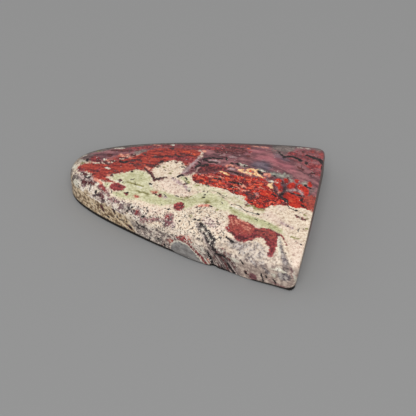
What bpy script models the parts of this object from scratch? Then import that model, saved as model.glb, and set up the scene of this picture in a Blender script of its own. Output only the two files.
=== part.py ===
# Red moss agate cabochon: one piece of polished rock. Seen from above it is a bullet with one
# straight end. An upright girdle rises from the flat back to a low dome, which runs out through
# the straight end. Metres, +Z up. The origin is the middle of the back, the tip points to -X.

import math

import bmesh
import bpy
from mathutils import Vector

MM = 0.001

# Driving dimensions of the whole stone
LENGTH = 45.3 * MM
WIDTH = 32.0 * MM
THICKNESS = 7.0 * MM
GIRDLE_HEIGHT = 4.4 * MM

# The straight end bows out a little in the middle. The sides are measured from its corners, and
# the end stands out from them by END_OUT at most.
END_BOW = 0.25 * MM
END_OUT = 0.3 * MM
SIDE_LENGTH = LENGTH - END_OUT

# The straight end was cut at a slant. Its lower edge is set back by the lean. Its upper edge is
# turned from it by the slope, so that it is drawn in on the far side and stands out on the near
# side of the pivot. Both fade out over the reach.
END_LEAN = 0.45 * MM
END_TURN = 0.025
TURN_PIVOT = -4.0 * MM
LEAN_REACH = 5.0 * MM

# Outline: half width = WIDTH / 2 * (1 - s ** TAPER_POWER) ** (1 / TAPER_ROOT),
# where s runs from 0 at the straight end to 1 at the tip
TAPER_POWER = 1.155
TAPER_ROOT = 2.07
NEAR_CORNER_RADIUS = 1.2 * MM
FAR_CORNER_RADIUS = 1.8 * MM

# The sides were ground by hand and waver: middle (as s), reach (as s) and how far the side
# stands out there. The waver fades where the stone is narrower than the tip blend.
NEAR_WAVER = (
    (0.98, 0.05, 0.35 * MM),
    (0.74, 0.13, -0.22 * MM),
    (0.42, 0.07, 0.25 * MM),
    (0.18, 0.06, 0.18 * MM),
)
FAR_WAVER = ((0.0, 0.09, -0.4 * MM),)
TIP_BLEND = 6.5 * MM

# The sides are measured from a line this far from the middle of the stone's width
MIDDLE_SHIFT = 0.2 * MM

# Dome: height over the girdle = rise * (1 - (1 - t) ** DOME_POWER) ** (1 / DOME_ROOT),
# where t runs from 0 at the girdle to 1 at the ridge along the middle
DOME_POWER = 8.0
DOME_ROOT = 1.3
RIDGE_SETBACK = 9.0 * MM
DOME_STEPS = (0.008, 0.025, 0.05, 0.085, 0.13, 0.19, 0.27, 0.38, 0.52, 0.74)

# Bevel between the back and the girdle
BACK_BEVEL_HEIGHT = 0.35 * MM
BACK_BEVEL_INSET = 0.3 * MM

# How finely the outline is divided
CORNER_POINTS = 7
SIDE_POINTS = 56
END_POINTS = 14
GIRDLE_STEPS = 4
WELD_DISTANCE = 0.001 * MM
SMOOTH_ANGLE = math.radians(35)

# Small chips in the lower edge: middle (x, y, z) and half sizes (x, y, z), in millimetres
CHIPS = (
    ((7.25, -13.85, 0.15), (1.05, 0.85, 0.95)),
    ((8.4, -14.0, 0.0), (0.6, 0.5, 0.55)),
    ((9.6, -14.3, 0.0), (0.8, 0.6, 0.6)),
    ((6.1, -13.7, 0.0), (0.7, 0.55, 0.5)),
)

# Look of the stone where it is plain
STONE_COLOUR = (0.55, 0.36, 0.29, 1.0)
STONE_ROUGHNESS = 0.22
STONE_METALLIC = 0.0


def clear_scene():
    for thing in list(bpy.data.objects):
        bpy.data.objects.remove(thing, do_unlink=True)


def new_collection(name):
    made = bpy.data.collections.new(name)
    bpy.context.scene.collection.children.link(made)
    return made


def half_width(distance):
    """Half the stone's width at a distance from the straight end."""
    s = min(distance / SIDE_LENGTH, 1.0)
    return WIDTH / 2 * (1 - s**TAPER_POWER) ** (1 / TAPER_ROOT)


def rounded_half_width(distance, radius):
    """The same, with the corner at the straight end rounded."""
    short = max(radius - distance, 0.0)
    return half_width(distance) - radius + math.sqrt(radius**2 - short**2)


def side(distance, radius, bumps):
    """How far one side stands from the line that the sides are measured from, with its waver."""
    s = distance / SIDE_LENGTH
    waver = sum(out * math.exp(-(((s - middle) / reach) ** 2)) for middle, reach, out in bumps)
    fade = min(1.0, half_width(distance) / TIP_BLEND)
    return rounded_half_width(distance, radius) + waver * fade


def station_distances():
    """Distances from the straight end, close together round the corners and the tip."""
    radius = max(NEAR_CORNER_RADIUS, FAR_CORNER_RADIUS)
    corner = [
        radius * (1 - math.cos(math.pi / 2 * n / CORNER_POINTS))
        for n in range(CORNER_POINTS + 1)
    ]
    run = SIDE_LENGTH - radius
    side = [radius + run * (1 - (1 - n / SIDE_POINTS) ** 2) for n in range(1, SIDE_POINTS + 1)]
    return corner + side


def outline():
    """The outline round the girdle, measured from the middle of the line between the corners."""
    stations = station_distances()
    near = [Vector((-d, -side(d, NEAR_CORNER_RADIUS, NEAR_WAVER), 0)) for d in stations]
    far = [Vector((-d, side(d, FAR_CORNER_RADIUS, FAR_WAVER), 0)) for d in stations[-2::-1]]
    straight = [far[-1].lerp(near[0], n / END_POINTS) for n in range(1, END_POINTS)]
    return near + far + straight


def sections():
    """How far each level is drawn in, from 0 at the girdle to 1 at the ridge, and its height."""
    levels = [(BACK_BEVEL_INSET / (WIDTH / 2), 0.0)]
    wall = GIRDLE_HEIGHT - BACK_BEVEL_HEIGHT
    for n in range(GIRDLE_STEPS + 1):
        levels.append((0.0, BACK_BEVEL_HEIGHT + wall * n / GIRDLE_STEPS))
    rise = THICKNESS - GIRDLE_HEIGHT
    for t in DOME_STEPS + (1.0,):
        height = rise * (1 - (1 - t) ** DOME_POWER) ** (1 / DOME_ROOT)
        levels.append((t, GIRDLE_HEIGHT + height))
    return levels


def place_level(corners, station, plan, inset, height):
    """Puts one level's corners on the outline, drawn in towards the ridge."""
    along = 1 - inset * RIDGE_SETBACK / SIDE_LENGTH
    across = 1 - inset
    for corner in corners:
        point = plan[corner[station]]
        y = point.y * across
        bow = END_BOW * (1 - (2 * y / WIDTH) ** 2) * (1 + point.x / SIDE_LENGTH)
        fade = max(0.0, 1 + point.x * along / LEAN_REACH) ** 2
        lean = END_LEAN * (1 - height / THICKNESS) * fade
        turn = END_TURN * (y - TURN_PIVOT) * height / THICKNESS * fade
        x = LENGTH / 2 - END_OUT + point.x * along + bow - lean - turn
        corner.co = Vector((x, y + MIDDLE_SHIFT, height))


def build_stone_mesh():
    """Extrudes the back's outline upwards level by level, until both sides meet on the ridge."""
    plan = outline()
    levels = sections()
    bm = bmesh.new()
    station = bm.verts.layers.int.new("station")
    corners = [bm.verts.new(point) for point in plan]
    for number, corner in enumerate(corners):
        corner[station] = number
    place_level(corners, station, plan, *levels[0])
    back_corners = corners
    top = bm.faces.new(corners)
    for inset, height in levels[1:]:
        made = bmesh.ops.extrude_face_region(bm, geom=[top])["geom"]
        bmesh.ops.delete(bm, geom=[top], context="FACES_ONLY")
        corners = [item for item in made if isinstance(item, bmesh.types.BMVert)]
        top = next(item for item in made if isinstance(item, bmesh.types.BMFace))
        place_level(corners, station, plan, inset, height)
    bmesh.ops.delete(bm, geom=[top], context="FACES_ONLY")
    bm.faces.new(back_corners)
    bmesh.ops.remove_doubles(bm, verts=bm.verts, dist=WELD_DISTANCE)
    bmesh.ops.recalc_face_normals(bm, faces=bm.faces)
    mesh = bpy.data.meshes.new("stone")
    bm.to_mesh(mesh)
    bm.free()
    return mesh


def stone_material():
    material = bpy.data.materials.new("polished moss agate")
    material.use_nodes = True
    shader = material.node_tree.nodes["Principled BSDF"]
    shader.inputs["Base Color"].default_value = STONE_COLOUR
    shader.inputs["Roughness"].default_value = STONE_ROUGHNESS
    shader.inputs["Metallic"].default_value = STONE_METALLIC
    return material


def make_chip(number, middle, half_sizes, collection):
    """One flake that broke out of the lower edge, as a cutter."""
    bm = bmesh.new()
    bmesh.ops.create_icosphere(bm, subdivisions=2, radius=1.0)
    bmesh.ops.scale(bm, vec=Vector(half_sizes) * MM, verts=bm.verts)
    mesh = bpy.data.meshes.new(f"chip_{number}")
    bm.to_mesh(mesh)
    bm.free()
    chip = bpy.data.objects.new(f"chip_{number}", mesh)
    chip.location = Vector(middle) * MM
    chip.display_type = "WIRE"
    chip.hide_render = True
    collection.objects.link(chip)
    return chip


def cut_away(body, cutter):
    cut = body.modifiers.new(cutter.name, "BOOLEAN")
    cut.operation = "DIFFERENCE"
    cut.solver = "EXACT"
    cut.object = cutter


def build():
    clear_scene()
    parts = new_collection("Red moss agate cabochon")
    cutters = new_collection("Chips in the edge")
    mesh = build_stone_mesh()
    stone = bpy.data.objects.new("stone", mesh)
    parts.objects.link(stone)
    mesh.materials.append(stone_material())
    mesh.shade_smooth()
    mesh.set_sharp_from_angle(angle=SMOOTH_ANGLE)
    for number, (middle, half_sizes) in enumerate(CHIPS, start=1):
        cut_away(stone, make_chip(number, middle, half_sizes, cutters))


build()
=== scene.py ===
# Red moss agate cabochon, dressed around its imported solid. One finely meshed stone takes the
# solid's place. Its mosses, jaspers and chalky bands are laid out as patches, strokes and spots,
# and noise grows them into the rock. Places are in millimetres in the part's frame:
# x runs to the straight end, y to the far side and z up.

import itertools
import math

import bpy
import numpy as np
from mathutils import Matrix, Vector


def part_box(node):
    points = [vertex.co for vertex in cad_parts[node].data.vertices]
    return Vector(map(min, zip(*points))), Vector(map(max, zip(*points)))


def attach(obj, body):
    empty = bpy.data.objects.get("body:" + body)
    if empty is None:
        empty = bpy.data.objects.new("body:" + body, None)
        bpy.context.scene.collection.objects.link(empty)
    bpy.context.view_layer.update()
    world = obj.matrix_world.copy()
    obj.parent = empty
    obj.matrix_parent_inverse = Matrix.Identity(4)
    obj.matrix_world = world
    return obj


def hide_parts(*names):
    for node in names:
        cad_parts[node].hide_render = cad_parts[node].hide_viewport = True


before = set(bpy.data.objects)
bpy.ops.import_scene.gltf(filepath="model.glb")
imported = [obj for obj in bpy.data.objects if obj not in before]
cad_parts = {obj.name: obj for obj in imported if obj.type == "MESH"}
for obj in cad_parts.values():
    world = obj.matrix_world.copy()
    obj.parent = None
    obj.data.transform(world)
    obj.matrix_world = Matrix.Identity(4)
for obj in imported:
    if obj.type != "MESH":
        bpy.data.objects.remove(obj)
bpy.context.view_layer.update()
print("frame loaded with", sorted(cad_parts))

mm = 0.001
stoneLow, stoneHigh = (np.array(corner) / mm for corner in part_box("stone"))
stoneLength = float(stoneHigh[0] - stoneLow[0])
stoneHeight = float(stoneHigh[2])


# The stone's form. A distance d is measured from the corners of the straight end.

stoneForm = {
    "width": 32.0,  # across the straight end, before its corners are rounded
    "girdle": 4.4,  # height of the upright wall
    "endBow": 0.25,  # how far the straight end bows out in the middle
    "endOut": 0.3,  # how far it stands out from its corners at most
    "taperPower": 1.155,
    "taperRoot": 2.07,
    "endLean": 0.45,  # the lower edge of the straight end is set back by this much
    "endTurn": 0.025,  # its upper edge is turned from the lower one by this slope
    "turnPivot": -4.0,
    "leanReach": 5.0,
    "nearCorner": 1.2,
    "farCorner": 1.8,
    # how the sides waver: middle and reach as shares of the length, and how far they stand out
    "nearWaver": ((0.98, 0.05, 0.35), (0.74, 0.13, -0.22), (0.42, 0.07, 0.25), (0.18, 0.06, 0.18)),
    "farWaver": ((0.0, 0.09, -0.4),),
    "tipBlend": 6.5,
    "middleShift": 0.2,  # from the middle of the width to the line that the sides are measured from
    "domePower": 8.0,
    "domeRoot": 1.3,
    "ridgeSetback": 9.0,
    "ridgeGap": 0.4,  # how near the last ring may come to the ridge, as a share of the spacing
    "bevelHeight": 0.35,
    "bevelInset": 0.3,
    "bevelRows": 4,
    "endEase": 0.25,  # rounding of the straight end's upper edge
    "spacing": 0.152,  # between mesh points on the polished faces
    "backSkip": 4,  # the back's rings are this many times further apart
    "ringSteps": 12,  # the fewest in a ring
    "samples": 4001,  # along a curve, before the mesh's points are spread over it
    # chips in the lower near edge: middle and half sizes
    "chips": (
        ((7.25, -13.85, 0.15), (1.05, 0.85, 0.95)),
        ((8.4, -14.0, 0.0), (0.6, 0.5, 0.55)),
        ((9.6, -14.3, 0.0), (0.8, 0.6, 0.6)),
        ((6.1, -13.7, 0.0), (0.7, 0.55, 0.5)),
    ),
}
sideLength = stoneLength - stoneForm["endOut"]
bevelLevel = stoneForm["bevelInset"] / (stoneForm["width"] / 2)


def halfWidth(d):
    s = np.clip(d / sideLength, 0, 1)
    return stoneForm["width"] / 2 * (1 - s ** stoneForm["taperPower"]) ** (1 / stoneForm["taperRoot"])


def roundedHalfWidth(d, radius):
    short = np.clip(radius - d, 0, radius)
    return halfWidth(d) - radius + np.sqrt(radius**2 - short**2)


def sideReach(d, corner, bumps):
    s = d / sideLength
    waver = sum(out * np.exp(-(((s - middle) / reach) ** 2)) for middle, reach, out in bumps)
    return roundedHalfWidth(d, corner) + waver * np.minimum(1, halfWidth(d) / stoneForm["tipBlend"])


def nearReach(d):
    return sideReach(d, stoneForm["nearCorner"], stoneForm["nearWaver"])


def farReach(d):
    return sideReach(d, stoneForm["farCorner"], stoneForm["farWaver"])


def domeHeight(level):
    rise = stoneHeight - stoneForm["girdle"]
    share = (1 - (1 - level) ** stoneForm["domePower"]) ** (1 / stoneForm["domeRoot"])
    return stoneForm["girdle"] + rise * share


# how far x is out from the line between the straight end's corners because of its bow
def endBow(y):
    return stoneForm["endBow"] * (1 - (2 * y / stoneForm["width"]) ** 2)


# a level runs from 0 at the girdle to 1 at the ridge, and draws the outline in
def onLevel(d, y, level):
    along = 1 - level * stoneForm["ridgeSetback"] / sideLength
    across = y * (1 - level)
    bow = endBow(across) * (1 - d / sideLength)
    return stoneLength / 2 - stoneForm["endOut"] - d * along + bow, across


# the length of a line up to each of its points
def runAlong(x, y):
    return np.concatenate(([0], np.cumsum(np.hypot(np.diff(x), np.diff(y)))))


# the outline from the near corner round the tip to the far corner
outlineNear = sideLength * (1 - np.cos(np.linspace(0, np.pi, stoneForm["samples"]))) / 2
outlineDistance = np.concatenate((outlineNear, outlineNear[-2::-1]))
outlineSide = np.concatenate((-nearReach(outlineNear), farReach(outlineNear[-2::-1])))
outlineRun = runAlong(outlineDistance, outlineSide)[-1]


# the points of one ring, evenly spaced
def ringPoints(level, spacing):
    x, y = onLevel(outlineDistance, outlineSide, level)
    run = runAlong(x, y)
    count = max(stoneForm["ringSteps"], round(run[-1] / spacing))
    places = np.linspace(0, run[-1], count + 1)
    return np.stack((np.interp(places, run, x), np.interp(places, run, y)), 1)


class StoneMesh:
    def __init__(self):
        self.points = []
        self.depths = []
        self.kinds = []
        self.runs = []
        self.faces = []
        self.count = 0

    # depth is how far a point lies under the polished face, straight down
    def add(self, xy, z, depth, kind):
        height = np.broadcast_to(z, len(xy))
        self.points.append(np.column_stack((xy, height)))
        self.depths.append(np.broadcast_to(depth, len(xy)))
        self.kinds.append(np.full(len(xy), kind))
        self.runs.append(np.linspace(0, outlineRun, len(xy)))
        self.count += len(xy)
        return list(range(self.count - len(xy), self.count))

    # joins two rows of points that run the same way, whatever their counts
    def stitch(self, lower, upper, flip=False):
        i = j = 0
        while i < len(lower) - 1 or j < len(upper) - 1:
            lowerNext = (i + 1) / (len(lower) - 1) if i < len(lower) - 1 else 2
            upperNext = (j + 1) / (len(upper) - 1) if j < len(upper) - 1 else 2
            if lowerNext <= upperNext:
                face = (lower[i], upper[j], lower[i + 1])
                i += 1
            else:
                face = (lower[i], upper[j], upper[j + 1])
                j += 1
            if len(set(face)) == 3:
                self.faces.append(face[::-1] if flip else face)

    # closes the narrow slot along the ridge
    def closeRidge(self, ring, flip=False):
        middle = len(ring) // 2
        self.stitch(ring[: middle + 1], ring[: middle - 1 : -1], flip)


topKind, wallKind, endKind, backKind = range(4)


def buildStone():
    made = StoneMesh()
    spacing, girdle, bevel = (stoneForm[name] for name in ("spacing", "girdle", "bevelHeight"))
    # rows of the bevel and the wall, as level and height
    wallCount = round((girdle - bevel) / spacing) + 1
    rows = [(bevelLevel * (1 - z / bevel), z) for z in np.linspace(0, bevel, stoneForm["bevelRows"])]
    rows += [(0.0, z) for z in np.linspace(bevel, girdle, wallCount)[1:]]
    # levels of the dome, evenly spaced along its profile
    level = 1 - np.cos(np.linspace(0, np.pi / 2, stoneForm["samples"]))
    run = runAlong(level * stoneForm["width"] / 2, domeHeight(level))
    steps = np.arange(spacing, run[-1] - spacing * stoneForm["ridgeGap"], spacing)
    domeLevels = np.interp(steps, run, level)
    rings = [made.add(ringPoints(t, spacing), z, girdle - z, wallKind) for t, z in rows]
    girdleRow = len(rings) - 1
    rings += [made.add(ringPoints(t, spacing), domeHeight(t), 0.0, topKind) for t in domeLevels]
    for lower, upper in itertools.pairwise(rings):
        made.stitch(lower, upper)
    made.closeRidge(rings[-1])
    # the straight end: one column of points under each level's corner
    sides = []
    for corner, side in ((0, -nearReach(0.0)), (-1, farReach(0.0))):
        columns = [[rings[row][corner] for row in range(girdleRow + 1)]]
        for number, t in enumerate(domeLevels, start=girdleRow + 1):
            top = domeHeight(t)
            z = np.array([height for _, height in rows[:-1]]) * top / girdle
            inset = bevelLevel * np.clip(1 - z / bevel, 0, 1)
            x, y = onLevel(0.0, side * (1 - inset), t)
            columns.append(made.add(np.column_stack((x, y)), z, top - z, endKind) + [rings[number][corner]])
        sides.append(columns)
    near, far = sides
    for left, right in itertools.pairwise(near + far[::-1]):
        for row in range(girdleRow):
            made.faces.append((left[row], right[row], right[row + 1], left[row + 1]))
    # the back, with its rings further apart towards the middle
    skip = stoneForm["backSkip"]
    kept = [0, 1, 2, *range(skip, len(domeLevels), skip), len(domeLevels)]
    allLevels = np.concatenate(([0.0], domeLevels))
    outer = rings[0]
    for before, number in itertools.pairwise(kept):
        t = 1 - (1 - allLevels[number]) * (1 - bevelLevel)
        places = ringPoints(t, spacing * min(number, skip))
        depth = domeHeight(allLevels[number])
        inner = [near[number][0]] + made.add(places[1:-1], 0.0, depth, backKind) + [far[number][0]]
        skippedNear = [near[k][0] for k in range(number - 1, before, -1)]
        skippedFar = [far[k][0] for k in range(before + 1, number)]
        made.stitch(skippedNear + outer + skippedFar, inner, flip=True)
        outer = inner
    made.closeRidge(outer, flip=True)
    return made


# smooth noise between -1 and 1, with lumps of one size
def cloud(places, size, seed):
    count = 32  # of lumps along each side, before the noise repeats
    lattice = np.random.default_rng(seed).uniform(-1, 1, (count, count, count))
    cell = places / size
    low = np.floor(cell).astype(int)
    part = cell - low
    part = part * part * (3 - 2 * part)
    total = np.zeros(len(places))
    for corner in itertools.product((0, 1), repeat=3):
        weight = np.prod(np.where(corner, part, 1 - part), axis=1)
        at = (low + corner) % count
        total += weight * lattice[at[:, 0], at[:, 1], at[:, 2]]
    return total


# rounds the upper edge of the straight end
def easeEnd(places, kinds, depths):
    radius = stoneForm["endEase"]
    back = stoneLength / 2 - stoneForm["endOut"] + endBow(places[:, 1]) - places[:, 0]
    down = np.where(kinds == endKind, depths, 0.0)
    near = (back < radius) & (down < radius) & (kinds != backKind)
    near &= (kinds != wallKind) & (np.abs(places[:, 1]) < halfWidth(0.0) - stoneForm["farCorner"])
    angle = (radius - back + down) / (2 * radius) * math.pi / 2
    places[:, 0] += np.where(near, back - radius * (1 - np.sin(angle)), 0)
    places[:, 2] += np.where(near, down - radius * (1 - np.cos(angle)), 0)


# slants the straight end and moves the stone to the middle of its box
def settle(places):
    back = stoneLength / 2 - stoneForm["endOut"] - places[:, 0]
    fade = np.clip(1 - back / stoneForm["leanReach"], 0, 1) ** 2
    height = places[:, 2] / stoneHeight
    turn = stoneForm["endTurn"] * (places[:, 1] - stoneForm["turnPivot"])
    places[:, 0] -= (stoneForm["endLean"] * (1 - height) + turn * height) * fade
    places[:, 1] += stoneForm["middleShift"]


# breaks the chips out of the lower near edge
def chipEdge(places):
    for (x, y, z), (rx, ry, rz) in stoneForm["chips"]:
        inside = 1 - ((places[:, 0] - x) / rx) ** 2 - ((places[:, 2] - z) / rz) ** 2
        wall = y + ry * np.sqrt(np.clip(inside, 0, 1))
        hit = (inside > 0) & (places[:, 1] < wall)
        places[:, 1] = np.where(hit, wall, places[:, 1])


rawStone = buildStone()
stonePlaces = np.concatenate(rawStone.points)
stoneDepths = np.concatenate(rawStone.depths)
stoneKinds = np.concatenate(rawStone.kinds)
easeEnd(stonePlaces, stoneKinds, stoneDepths)
settle(stonePlaces)
chipEdge(stonePlaces)
stonePlaces = np.clip(stonePlaces, stoneLow, stoneHigh)
print("stone meshed:", len(stonePlaces), "points")


# What grows in the stone, from the lowest layer up. Patches are closed outlines, strokes run
# from one width to another, and spots are ellipses: middle and half sizes. Mottles are patches
# that only half cover. The wall's marks are in x and z, on the near side only. Soft and ragged
# say how a layer's edges fade and fray, and spread how far it grows past its marks. Colours are
# red, green and blue from 0 to 255, as seen on a screen.

minerals = {}

minerals["greyGrit"] = {  # the speckled wall and the band above it
    "shades": ((234, 218, 202), (188, 170, 158), (116, 100, 98)),
    "grain": "lump",
    "soft": 0.5,
    "ragged": 1.6,
    "mottles": (
        ((8.6, -12), (11.5, -11.9), (14, -12.2), (16.6, -12.4), (18, -13.2), (20, -13.8), (22.6, -14.4),
         (24, -16.5), (16, -16.5), (9, -15.2), (6, -14)),
        ((-2.2, -10.9), (0, -11.2), (3.2, -11.9), (6, -13), (4, -14.2), (-1.8, -12.6), (-5, -11.2)),
    ),
    "wallPatches": (
        ((-9.6, -1), (-9, 2), (-9.4, 4), (-6, 4.4), (0, 4.7), (8, 4.9), (14, 5.2), (23.5, 5.4), (23.5, -1)),
    ),
}

minerals["ashTan"] = {  # the right half of the near wall
    "shades": ((218, 198, 182), (197, 176, 162), (160, 140, 130)),
    "grain": "lump",
    "soft": 0.6,
    "ragged": 1.2,
    "wallPatches": (
        ((10.8, -1), (11.6, 1.6), (11.4, 3.6), (13, 4.5), (16, 4.9), (19, 5), (22, 5.2), (23.5, 5.4),
         (23.5, -1)),
    ),
}

minerals["tanCrust"] = {  # the near wall by the tip
    "shades": ((236, 214, 182), (200, 173, 139), (118, 94, 70)),
    "grain": "lump",
    "soft": 0.6,
    "ragged": 1.6,
    "wallPatches": (
        ((-24, -1), (-24, 5.2), (-18, 5), (-14, 4.7), (-10.5, 4.5), (-8.6, 3.2), (-8.4, 1.4), (-9.2, -1)),
    ),
}

minerals["pinkChalk"] = {  # pinkish cream fields
    "shades": ((246, 228, 210), (234, 211, 191), (190, 160, 146)),
    "soft": 0.55,
    "ragged": 1.4,
    "patches": (
        ((-4.3, -0.6), (-3.6, -0.5), (-3, -1), (-2.2, -1.3), (-1.5, -2), (-0.8, -2.5), (0, -2.9),
         (0.9, -3.3), (1.1, -4), (0.4, -4.5), (-0.9, -4.5), (-2.2, -4.2), (-4, -3.8), (-5.2, -2.8),
         (-4.8, -1.4)),
        ((13.8, -5), (15, -4.2), (16.6, -5), (17.8, -6.2), (19.2, -6.8), (20.4, -7.2), (20, -8.2),
         (18, -7.5), (16.4, -6.7), (14.4, -6.1)),
        ((-8.2, -7.7), (-5.2, -8.1), (-2.4, -8), (-2.5, -9.2), (-5.2, -9.4), (-7.8, -8.7)),
        ((16.2, -3), (17.4, -2.8), (18, -3.6), (16.6, -4)),
        ((19.4, -9.6), (21, -9.8), (22.8, -10.6), (22.8, -15), (21.2, -14.6), (20.2, -12.4)),
        ((5, -8.5), (7.4, -8.3), (8.3, -9.4), (8.1, -11.1), (6.6, -11.4), (5.2, -10)),
    ),
}

minerals["mossGreen"] = {  # pale green fields through the middle
    "shades": ((230, 224, 192), (210, 206, 168), (182, 175, 134)),
    "soft": 0.25,
    "ragged": 1.5,
    "patches": (
        ((-14.5, -2.6), (-13.9, -1.9), (-13.2, -1.6), (-12.4, -1.2), (-11.6, -0.9), (-11, -0.4), (-10.3, 0),
         (-9.6, 0.1), (-8.4, 0), (-7.5, -0.6), (-6.6, -1.9), (-7.3, -2.7), (-6.4, -3.3), (-5.6, -4.1),
         (-3.8, -4.1), (-2.5, -4.4), (-1.2, -4.9), (0.6, -4.8), (1.2, -4), (2.3, -2.8), (4.1, -2.3),
         (5.3, -2.7), (6.7, -3.1), (8.3, -4.5), (8.2, -6.4), (6.3, -5.9), (3.7, -5.1), (2.5, -5.8),
         (1.6, -6.7), (0.4, -7.7), (-1.2, -6.8), (-2.6, -7), (-3.4, -7.5), (-4.6, -7.4), (-6.3, -7.2),
         (-7.6, -6.9), (-9, -7), (-11, -6.9), (-13.3, -6.1), (-11.3, -5.4), (-10.9, -4.5), (-12.1, -3.8),
         (-13.5, -3.3)),
        ((7.7, -4.3), (8.6, -4.9), (9.5, -5.1), (10.5, -5.6), (12, -6.2), (13.5, -6.6), (15, -6.9),
         (16.3, -7.3), (17.3, -8), (18.2, -8.8), (19.4, -10.2), (18.1, -9.2), (17.5, -9), (16.5, -8.7),
         (15.3, -8.6), (14.2, -8.8), (13.5, -8.3), (12.5, -8.1), (11.5, -7.9), (10.5, -7.4), (9.7, -6.9),
         (8.4, -6.7)),
        ((-1.9, 0.5), (-1, 0.4), (-0.2, 0.2), (0.1, -0.4), (-0.1, -1.3), (-0.6, -1), (-1.6, -0.5),
         (-2.1, -0.1)),
        ((-14.8, -4.2), (-13.8, -4.1), (-13.6, -4.8), (-14.1, -5.3), (-14.8, -5)),
        ((-20.9, 0.5), (-20.1, 0.5), (-19.9, 0.1), (-20.5, -0.1)),
    ),
    "mottles": (
        ((0.5, -1), (3.1, -0.9), (5.7, -1.4), (7.9, -2.1), (10.3, -2), (10.5, -3.6), (11.9, -4.3),
         (10.7, -4.5), (9.1, -4.1), (6.7, -3), (3.7, -2.5), (1.4, -2.7)),
        ((12.7, -4.5), (14.6, -4.4), (14, -5.4), (12.1, -5.2)),
    ),
}

minerals["deepGreen"] = {  # darker streaks in the green
    "shades": ((206, 204, 162), (186, 184, 138), (150, 144, 98)),
    "grain": "fibre",
    "soft": 0.4,
    "ragged": 1.5,
    "strokes": (
        (0.3, 0.5, (8.9, -6), (10.6, -6.5), (13, -7), (15, -7.5), (16.6, -8.1), (17.6, -8.6)),
        (0.25, 0.3, (-2.6, -5.1), (0.2, -5.3), (2, -4.6), (3.8, -4), (5.6, -4.1)),
    ),
    "mottles": (
        ((-7.2, -5.4), (-4.2, -6), (-1.4, -5.9), (1.2, -5.4), (2.7, -4), (4.7, -3.4), (6.1, -4.4),
         (3.3, -4.8), (2, -6), (0.6, -6.8), (-1.6, -6.6), (-4.2, -7.1), (-6.8, -6.7)),
        ((-12.7, -5.7), (-11.1, -6.2), (-9.1, -6.4), (-11.1, -6.7)),
        ((-9.5, -0.6), (-8, -1.2), (-8.2, -2.4), (-10, -2.8), (-11.6, -2.2)),
    ),
}

minerals["paleLump"] = {  # white lumps along the near edge
    "shades": ((252, 242, 228), (236, 222, 206), (206, 186, 170)),
    "lumpy": True,
    "spread": 0.04,
    "soft": 0.07,
    "ragged": 1.6,
    "mottles": (
        ((-21, -2.4), (-18.6, -3.6), (-16.6, -5), (-14, -6.6), (-11, -7.4), (-8, -8), (-5.6, -9.2),
         (-5.6, -10.6), (-9, -9.8), (-13, -8), (-16.4, -6.4), (-20, -4.2)),
    ),
}

minerals["duskyLump"] = {  # dusky lumps between them
    "shades": ((158, 126, 124), (118, 88, 92), (78, 58, 62)),
    "lumpy": True,
    "spread": -0.06,
    "soft": 0.07,
    "ragged": 1.6,
    "mottles": (
        ((-21.4, -1.6), (-18.6, -3), (-16.4, -4.4), (-14, -6.2), (-11, -7.2), (-8, -8.2), (-6, -9.4),
         (-5.6, -10.6), (-9, -9.6), (-13, -7.8), (-16.4, -6.2), (-20.4, -3.6)),
    ),
}

minerals["mauve"] = {  # the far third of the face, and small patches
    "shades": ((164, 110, 112), (130, 84, 88), (88, 56, 62)),
    "grain": "silk",
    "soft": 0.3,
    "ragged": 1.6,
    "patches": (
        ((0, 1.4), (0.5, 3.3), (0.2, 5.1), (0.6, 7.1), (-0.5, 8), (-3, 8.8), (-3, 12), (5, 15), (15, 18),
         (26.5, 18), (26.5, 1.4), (21, 0.6), (20, 0), (18, -0.4), (16.4, -1.2), (15.4, -0.4), (14.6, 0.6),
         (13.8, 1.4), (12.8, 2.2), (11.5, 2.6), (9, 2.6), (6, 2.6), (4.7, 2.4), (3.7, 2), (2.4, 1.5)),
        ((-19.4, 0.4), (-21.2, 0.7), (-20.6, 2), (-18.4, 3.6), (-16, 5), (-12.4, 6.4), (-9, 8), (-4, 9.4),
         (2, 10.6), (2, 8), (-3, 7.4), (-8, 6.2), (-10, 4.6), (-13, 3), (-14.4, 2), (-15.2, 0.8),
         (-17.1, 0.3)),
        ((-2.2, 1), (-1.9, 2.2), (-1.4, 3.6), (-0.9, 4.8), (-0.4, 6.2), (0.8, 6.2), (0.6, 4), (0.5, 2.4),
         (0, 1.4), (-0.8, 0.9), (-1.6, 0.6)),
        ((-20.9, -1.2), (-19.6, -1.5), (-18.9, -2.3), (-19.5, -2.6), (-20.6, -2.2)),
        ((-2.5, -8.9), (-0.9, -8.6), (-0.6, -9.7), (-0.6, -10.6), (-1.6, -11), (-2.6, -10.6), (-2.3, -9.7)),
        ((-23, 9.7), (-14.1, 10.5), (-6.2, 12.6), (3.7, 15.4), (1.8, 10.5), (-6.2, 8.9), (-12.1, 7.1)),
    ),
    "strokes": (
        (0.3, 0.25, (-15.6, -4.9), (-14.7, -5.3), (-14, -5.9), (-13.5, -6.4)),
        (0.28, 0.26, (-6.6, -9.7), (-5.3, -9.9), (-4, -9.8), (-2.5, -10)),
        (0.35, 0.3, (-7.6, -8.7), (-7, -9.3)), (0.25, 0.2, (-13, -7), (-11.4, -7.4)),
        (0.35, 0.3, (-1.4, 1.6), (-1.9, 1), (-2, 0.9)),
    ),
    "mottles": (
        ((-17.6, 3.1), (-15.9, 4.5), (-12.1, 4.9), (-11.1, 3.7), (-13.5, 2.3), (-16.1, 2.1)),
        ((-5.6, -1), (-5, -0.9), (-4.9, -1.8), (-5.6, -1.9)),
    ),
    "wallPatches": (((13.4, 2.4), (14.2, 2.7), (14.9, 1.9), (14.6, 0.7), (13.7, 0.6), (13.2, 1.4)),),
    "wallStrokes": (
        (0.12, 0.2, (20.2, 5.6), (21.1, 5), (21.8, 3.8)), (0.1, 0.12, (16.9, 2.3), (18, 1.6), (19.5, 1.4)),
    ),
}

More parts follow.
